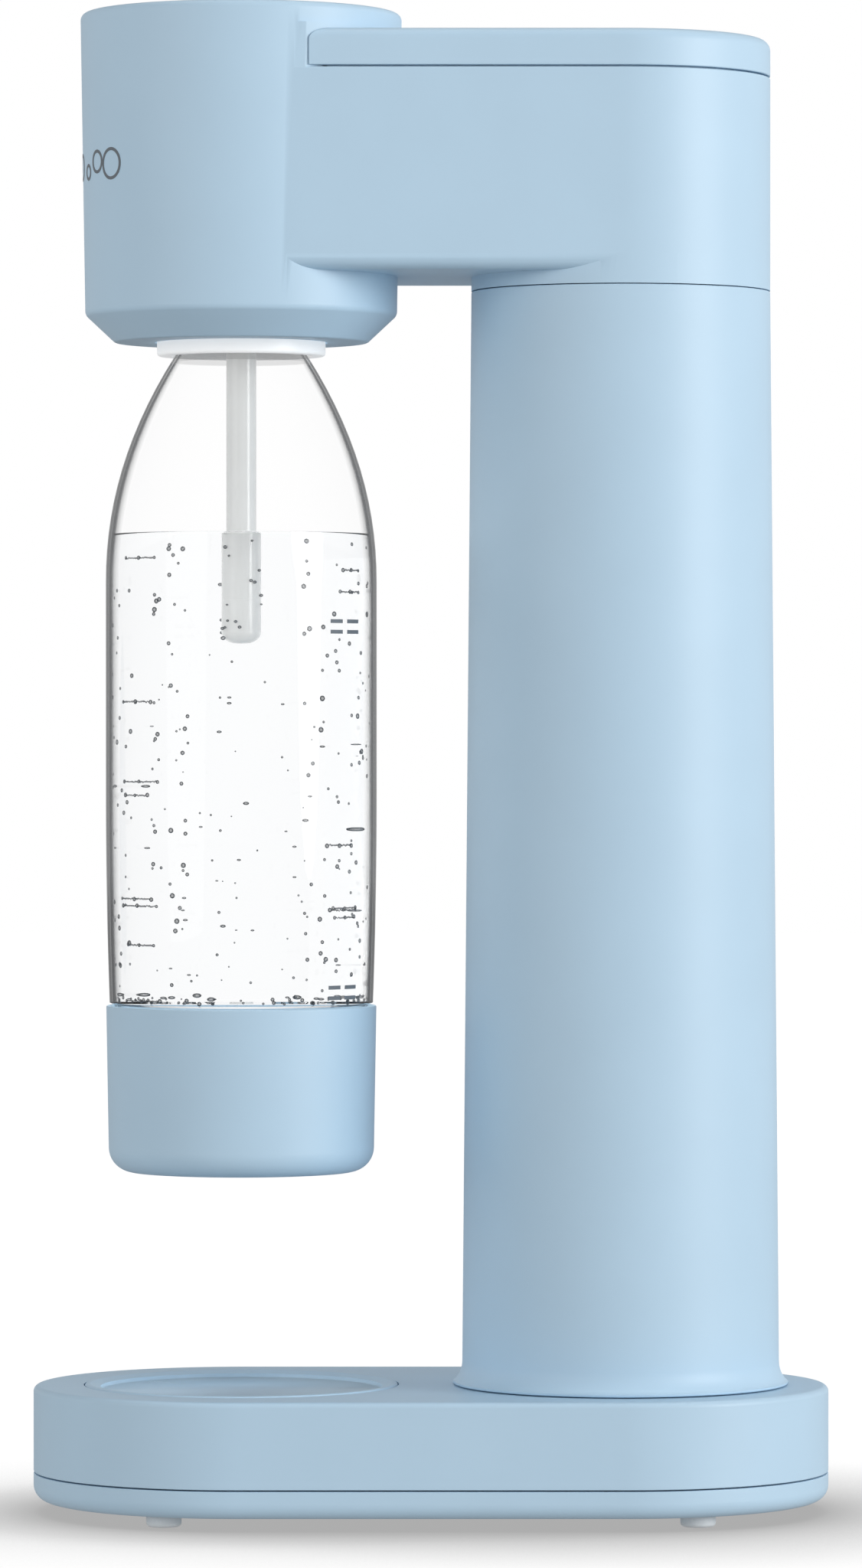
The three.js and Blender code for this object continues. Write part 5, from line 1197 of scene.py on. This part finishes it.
def nozzle_adapter():
    bottom, top = heights("nozzle_adapter")
    flange = MIXER_Z - FIT - 5.7 * MM
    sleeve = 4.6 * MM
    works_piece("nozzle_adapter", "moulding", [
        (sleeve, bottom, 0.2 * MM), (6.3 * MM, bottom, 0.6 * MM), (6.3 * MM, flange),
        (7.5 * MM, flange, 0.4 * MM),
        (7.5 * MM, flange + 5.7 * MM, 0.6 * MM), (3.9 * MM, flange + 5.7 * MM), (3.9 * MM, top, 0.5 * MM),
        (GAS_PASSAGE, top), (GAS_PASSAGE, flange), (sleeve, flange)], HEAD, "milky_plastic", "machine")


def relief_valve():
    bottom, cap_top = low("relief_body").z, high("relief_cap").z
    top, bore, radius = bottom + 12.7 * MM, 3.6 * MM, 5.2 * MM
    works_piece("relief_body", "brass", [
        (0, bottom), (radius, bottom, 0.5 * MM), (radius, top, 0.4 * MM), (bore, top, 0.2 * MM),
        (bore, bottom + 1.4 * MM),
        (0, bottom + 1.4 * MM)], RELIEF, "brass", "machine", 48)
    plug, cap = low("relief_cap").z, cap_top - 2.2 * MM
    works_piece("relief_cap", "brass", [
        (0.8 * MM, plug), (bore - FIT, plug, 0.3 * MM), (bore - FIT, cap), (radius, cap, 0.3 * MM),
        (radius, cap_top, 0.7 * MM),
        (0.8 * MM, cap_top, 0.3 * MM)], RELIEF, "brass", "machine", 48)
    seat, crown = heights("relief_poppet")
    works_piece("relief_poppet", "disc", [
        (0, seat), (3.2 * MM, seat, 0.5 * MM), (3.2 * MM, crown, 0.3 * MM), (0, crown)],
        RELIEF, "rubber_dark", "poppet", 48)


def hose_and_fittings():
    """The gas hose between its two union nuts, on a smooth curve through five stops."""
    corner, bore, web, length = 4.2 * MM, 2.9 * MM, 2 * MM, 8 * MM
    ends = []
    for node, turn in (("outlet_fitting", -1), ("inlet_fitting", 1)):
        y = high(node).y if turn < 0 else low(node).y
        z = middle(node).z
        nut = turned(f"{node}_nut", [
            (GAS_PASSAGE, 0), (corner * 0.88, 0), (corner, 0.6 * MM), (corner, length - 0.6 * MM),
            (corner * 0.88, length),
            (bore, length), (bore, web), (GAS_PASSAGE, web)], sides=6)
        if turn < 0:
            nut.data.transform(Matrix.Rotation(math.pi, 4, "X"))
        along_y(nut, y, z)
        finished(smooth(soften(nut, 0.15 * MM), 30), "brass", "machine", node)
        ends.append(Vector((0, y + turn * (web + FIT), z)))
    rear, front = ends
    bend = (rear + front) / 2 + Vector((-6 * MM, 0, 0))
    stops = [rear, rear - Vector((0, length, 0)), bend, front + Vector((0, length, 0)), front]
    padded_stops = [stops[0] * 2 - stops[1]] + stops + [stops[-1] * 2 - stops[-2]]
    path = []
    for index in range(1, len(padded_stops) - 2):
        a, b, c, d = padded_stops[index - 1:index + 3]
        for step in range(12):
            t = step / 12
            bow = (2 * a - 5 * b + 4 * c - d) * t * t + (3 * b - a - 3 * c + d) * t ** 3
            path.append(0.5 * (2 * b + (c - a) * t + bow))
    path.append(stops[-1])
    hose = swept(line_piece("gas_hose_tube", path), 2.6 * MM, dark_rubber)
    finished(smooth(hose, 50), "rubber_dark", "machine", "gas_hose")


def swept(piece, radius, material):
    """Gives a line of points a round section, with its ends closed."""
    def tube(group, given):
        line = add(group, "GeometryNodeMeshToCurve", {"Mesh": given["Geometry"]})
        section = add(group, "GeometryNodeCurvePrimitiveCircle",
                      {"Radius": given["Tube radius"], "Resolution": 16})
        skin = add(group, "GeometryNodeCurveToMesh", {
            "Curve": line.outputs["Curve"], "Profile Curve": section.outputs["Curve"], "Fill Caps": True})
        return skin.outputs["Mesh"]

    return grown(piece, "tube", {"Tube radius": ("Float", radius)}, material, tube)


def coil_spring(node, wire, turns):
    """A wound spring with closed end turns."""
    bottom, top = heights(node)
    centre = middle(node)
    radius = half_width(node) - wire
    steps = 24 * (turns + 2)
    path = []
    for step in range(steps + 1):
        turn = step / steps * (turns + 2 * END_TURN)
        rise = min(1, max(0, (turn - END_TURN) / turns))
        closed = wire * (min(turn, END_TURN) + max(0, turn - END_TURN - turns)) / END_TURN
        z = bottom + wire + closed + rise * (top - bottom - 4 * wire)
        angle = 2 * math.pi * turn
        path.append((centre.x + radius * math.cos(angle), centre.y + radius * math.sin(angle), z))
    spring = swept(line_piece(f"{node}_coil", path), wire, steel)
    finished(smooth(spring, 60), "steel", "machine", node)
    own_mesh(spring)


def lever():
    """A flat steel bar with a rounded nose, a pressed pad over the plunger and an eye at the pivot."""
    bottom, nose = low("lever").z + 0.9 * MM, low("lever").y
    top, half = bottom + 5.5 * MM, 7 * MM
    pivot_y, pivot_z = middle("lever_pin").y, middle("lever_pin").z
    side = [(nose, bottom), (COLUMN_Y - 4.5 * MM, bottom), (COLUMN_Y - 2.25 * MM, bottom - 0.9 * MM),
            (COLUMN_Y + 2.25 * MM, bottom - 0.9 * MM), (COLUMN_Y + 4.5 * MM, bottom), (pivot_y, bottom),
            (pivot_y, top),
            (nose, top)]
    bar = lofted("lever_bar", [[(x, y, z) for y, z in side] for x in (-half, half)])
    unite(bar, along_x(drum("join", 6 * MM, -half, half, sides=64), pivot_y, pivot_z))
    carve(bar, along_x(hole(PIN_HOLE, -half - OVERSHOOT, half + OVERSHOOT, sides=48), pivot_y, pivot_z))
    soften(bar, 0.8 * MM)
    finished(smooth(bar, 40), "steel", "lever", "lever")
    end = high("lever_pin").x
    pin = turned("lever_pin_rod",
                 rounded([(0, -end), (2.5 * MM, -end, 0.5 * MM), (2.5 * MM, end, 0.5 * MM), (0, end)], 4),
                 sides=48)
    finished(smooth(along_x(pin, pivot_y, pivot_z), 40), "steel", "machine", "lever_pin")


def lever_bracket():
    foot_z, ear_top = heights("lever_bracket")
    pivot_y, pivot_z = middle("lever_pin").y, middle("lever_pin").z
    foot_top = foot_z + 3 * MM
    half_foot, half_ear = 5 * MM, 6 * MM
    bracket = box_piece("lever_bracket_moulding", (-21 * MM, 21 * MM),
                        (pivot_y - half_foot, pivot_y + half_foot), (foot_z, foot_top))
    ears = [box_piece("join", sorted((side * 7.6 * MM, side * 10.6 * MM)),
                      (pivot_y - half_ear, pivot_y + half_ear),
                      (foot_top - MM, ear_top)) for side in (-1, 1)]
    unite(bracket, *ears)
    cutters = [along_x(hole(PIN_HOLE, -16 * MM, 16 * MM, sides=48), pivot_y, pivot_z)]
    carve(bracket, *cutters, *screw_holes("bracket_screw", 2, foot_z - MM, foot_top + MM))
    soften(bracket, 0.6 * MM)
    finished(smooth(bracket, 40), "inner_grey", "machine", "lever_bracket")


def inner_frame():
    """The tube that guides the gas cylinder, with its foot flange and upper plate."""
    bottom, top = heights("inner_frame")
    plate_top = ARM_Z - 12.4 * MM
    plate = plate_top - 4 * MM
    bore, wall = 31.2 * MM, 33.4 * MM
    edge = ARM_HALF - SHELL_WALL - 1.5 * MM
    frame_piece = turned("inner_frame_tube", rounded([
        (bore, bottom, 0.5 * MM), (42 * MM, bottom, 0.5 * MM), (42 * MM, bottom + 3 * MM, 0.8 * MM),
        (wall, bottom + 3 * MM, MM),
        (wall, plate), (edge, plate, 0.5 * MM), (edge, plate_top, 0.5 * MM), (15 * MM, plate_top, 0.5 * MM),
        (15 * MM, plate),
        (bore, plate),
    ], 4), COLUMN, 96)
    for label, count, base, crown in (("frame_foot_screw", 2, bottom, bottom + 12 * MM),
                                      ("frame_top_screw", 3, plate, top)):
        for index in range(count):
            unite(frame_piece, drum("join", 4 * MM, base, crown, spot(f"{label}_{index + 1}"), 32))
    carve(frame_piece, hole(bore, bottom - OVERSHOOT, plate, COLUMN, 96))
    finished(smooth(frame_piece, 40), "inner_grey", "machine", "inner_frame")


# ---- Screws ----

SCREW_SEED = 11
HEAD_HEIGHT = 2 * MM          # of a screw's head


def screw_pattern(length):
    """A pan-head screw with a cross recess: its head sits on z = 0 and its shank points down."""
    shank, head, height = 1.4 * MM, 2.8 * MM, HEAD_HEIGHT
    corners = [(0, -length), (shank * 0.5, -length + 0.6 * MM)]
    z, pitch = -length + 1.5 * MM, 1.1 * MM
    while z + pitch < -1.2 * MM:
        corners += [(shank * 0.78, z), (shank, z + pitch / 2)]
        z += pitch
    corners += [(shank * 0.78, z), (shank * 0.78, 0), (head, 0, 0.2 * MM), (head, height * 0.45, 0.8 * MM),
                (head * 0.62, height, 0.8 * MM), (0, height)]
    pattern = turned("screw_pattern", rounded(corners, 3), sides=32)
    for turn in (0, 1):
        half = (1.5 * MM, 0.32 * MM)
        blade = box_piece("cut", (-half[turn], half[turn]), (-half[1 - turn], half[1 - turn]),
                          (height - 1.1 * MM, height + MM))
        carve(pattern, blade)
    return smooth(pattern, 40)


def screw_set(label, count, length, from_below=False):
    """Sets the same screw at each of its places, its recess turned by chance from a fixed seed."""
    nodes = [f"{label}_{index + 1}" for index in range(count)]
    places = []
    for node in nodes:
        seat = low(node).z + HEAD_HEIGHT if from_below else high(node).z - HEAD_HEIGHT
        places.append((middle(node).x, middle(node).y, seat))
    piece = new_piece(f"{label}s", places)
    pattern = screw_pattern(length)

    def set_out(group, given):
        points = add(group, "GeometryNodeMeshToPoints", {"Mesh": given["Geometry"]})
        source = add(group, "GeometryNodeObjectInfo", {"Object": given["Screw"]})
        turn = random_float(group, 0.0, math.pi, given["Seed"])
        rotation = add(group, "ShaderNodeCombineXYZ", {"X": given["Turned over"], "Z": turn})
        instances = add(group, "GeometryNodeInstanceOnPoints", {
            "Points": points.outputs["Points"], "Instance": source.outputs["Geometry"],
            "Rotation": rotation.outputs["Vector"]})
        return instances.outputs["Instances"]

    grown(piece, "screws", {
        "Screw": ("Object", pattern), "Turned over": ("Float", math.pi if from_below else 0.0),
        "Seed": ("Int", SCREW_SEED)}, steel, set_out)
    bpy.data.objects.remove(pattern)
    finished(piece, "steel", "machine", *nodes)


base_plate()
base_housing()
feet()
drip_tray()
column_shell()
upper_housing()
arm_lid()
press_button()
button_guide()
bottle()
water()
bottle_cup()
lock_ring()
nozzle()
bubble_cluster()
level_marks()
head_mark()
gas_cylinder()
cylinder_valve()
gas_head()
gas_head_fittings()
mixing_head()
nozzle_adapter()
relief_valve()
hose_and_fittings()
coil_spring("button_spring", 0.8 * MM, 5)
coil_spring("plunger_spring", 0.5 * MM, 4)
coil_spring("relief_spring", 0.35 * MM, 4)
lever()
lever_bracket()
inner_frame()
screw_set("base_screw", 4, 14 * MM, from_below=True)
screw_set("frame_foot_screw", 2, 12 * MM, from_below=True)
screw_set("frame_top_screw", 3, 12 * MM)
screw_set("gas_head_screw", 2, 11 * MM)
screw_set("mixing_head_screw", 3, 13 * MM)
screw_set("guide_screw", 2, 9 * MM)
screw_set("bracket_screw", 2, 10 * MM)

# ---- Finishes of the hidden CAD nodes ----

for entry in frame["record"]["subparts"]:
    node = frame["nodes"][entry["node"]]
    node.data.materials.clear()
    node.data.materials.append(FINISHES[entry["material_slot"]])
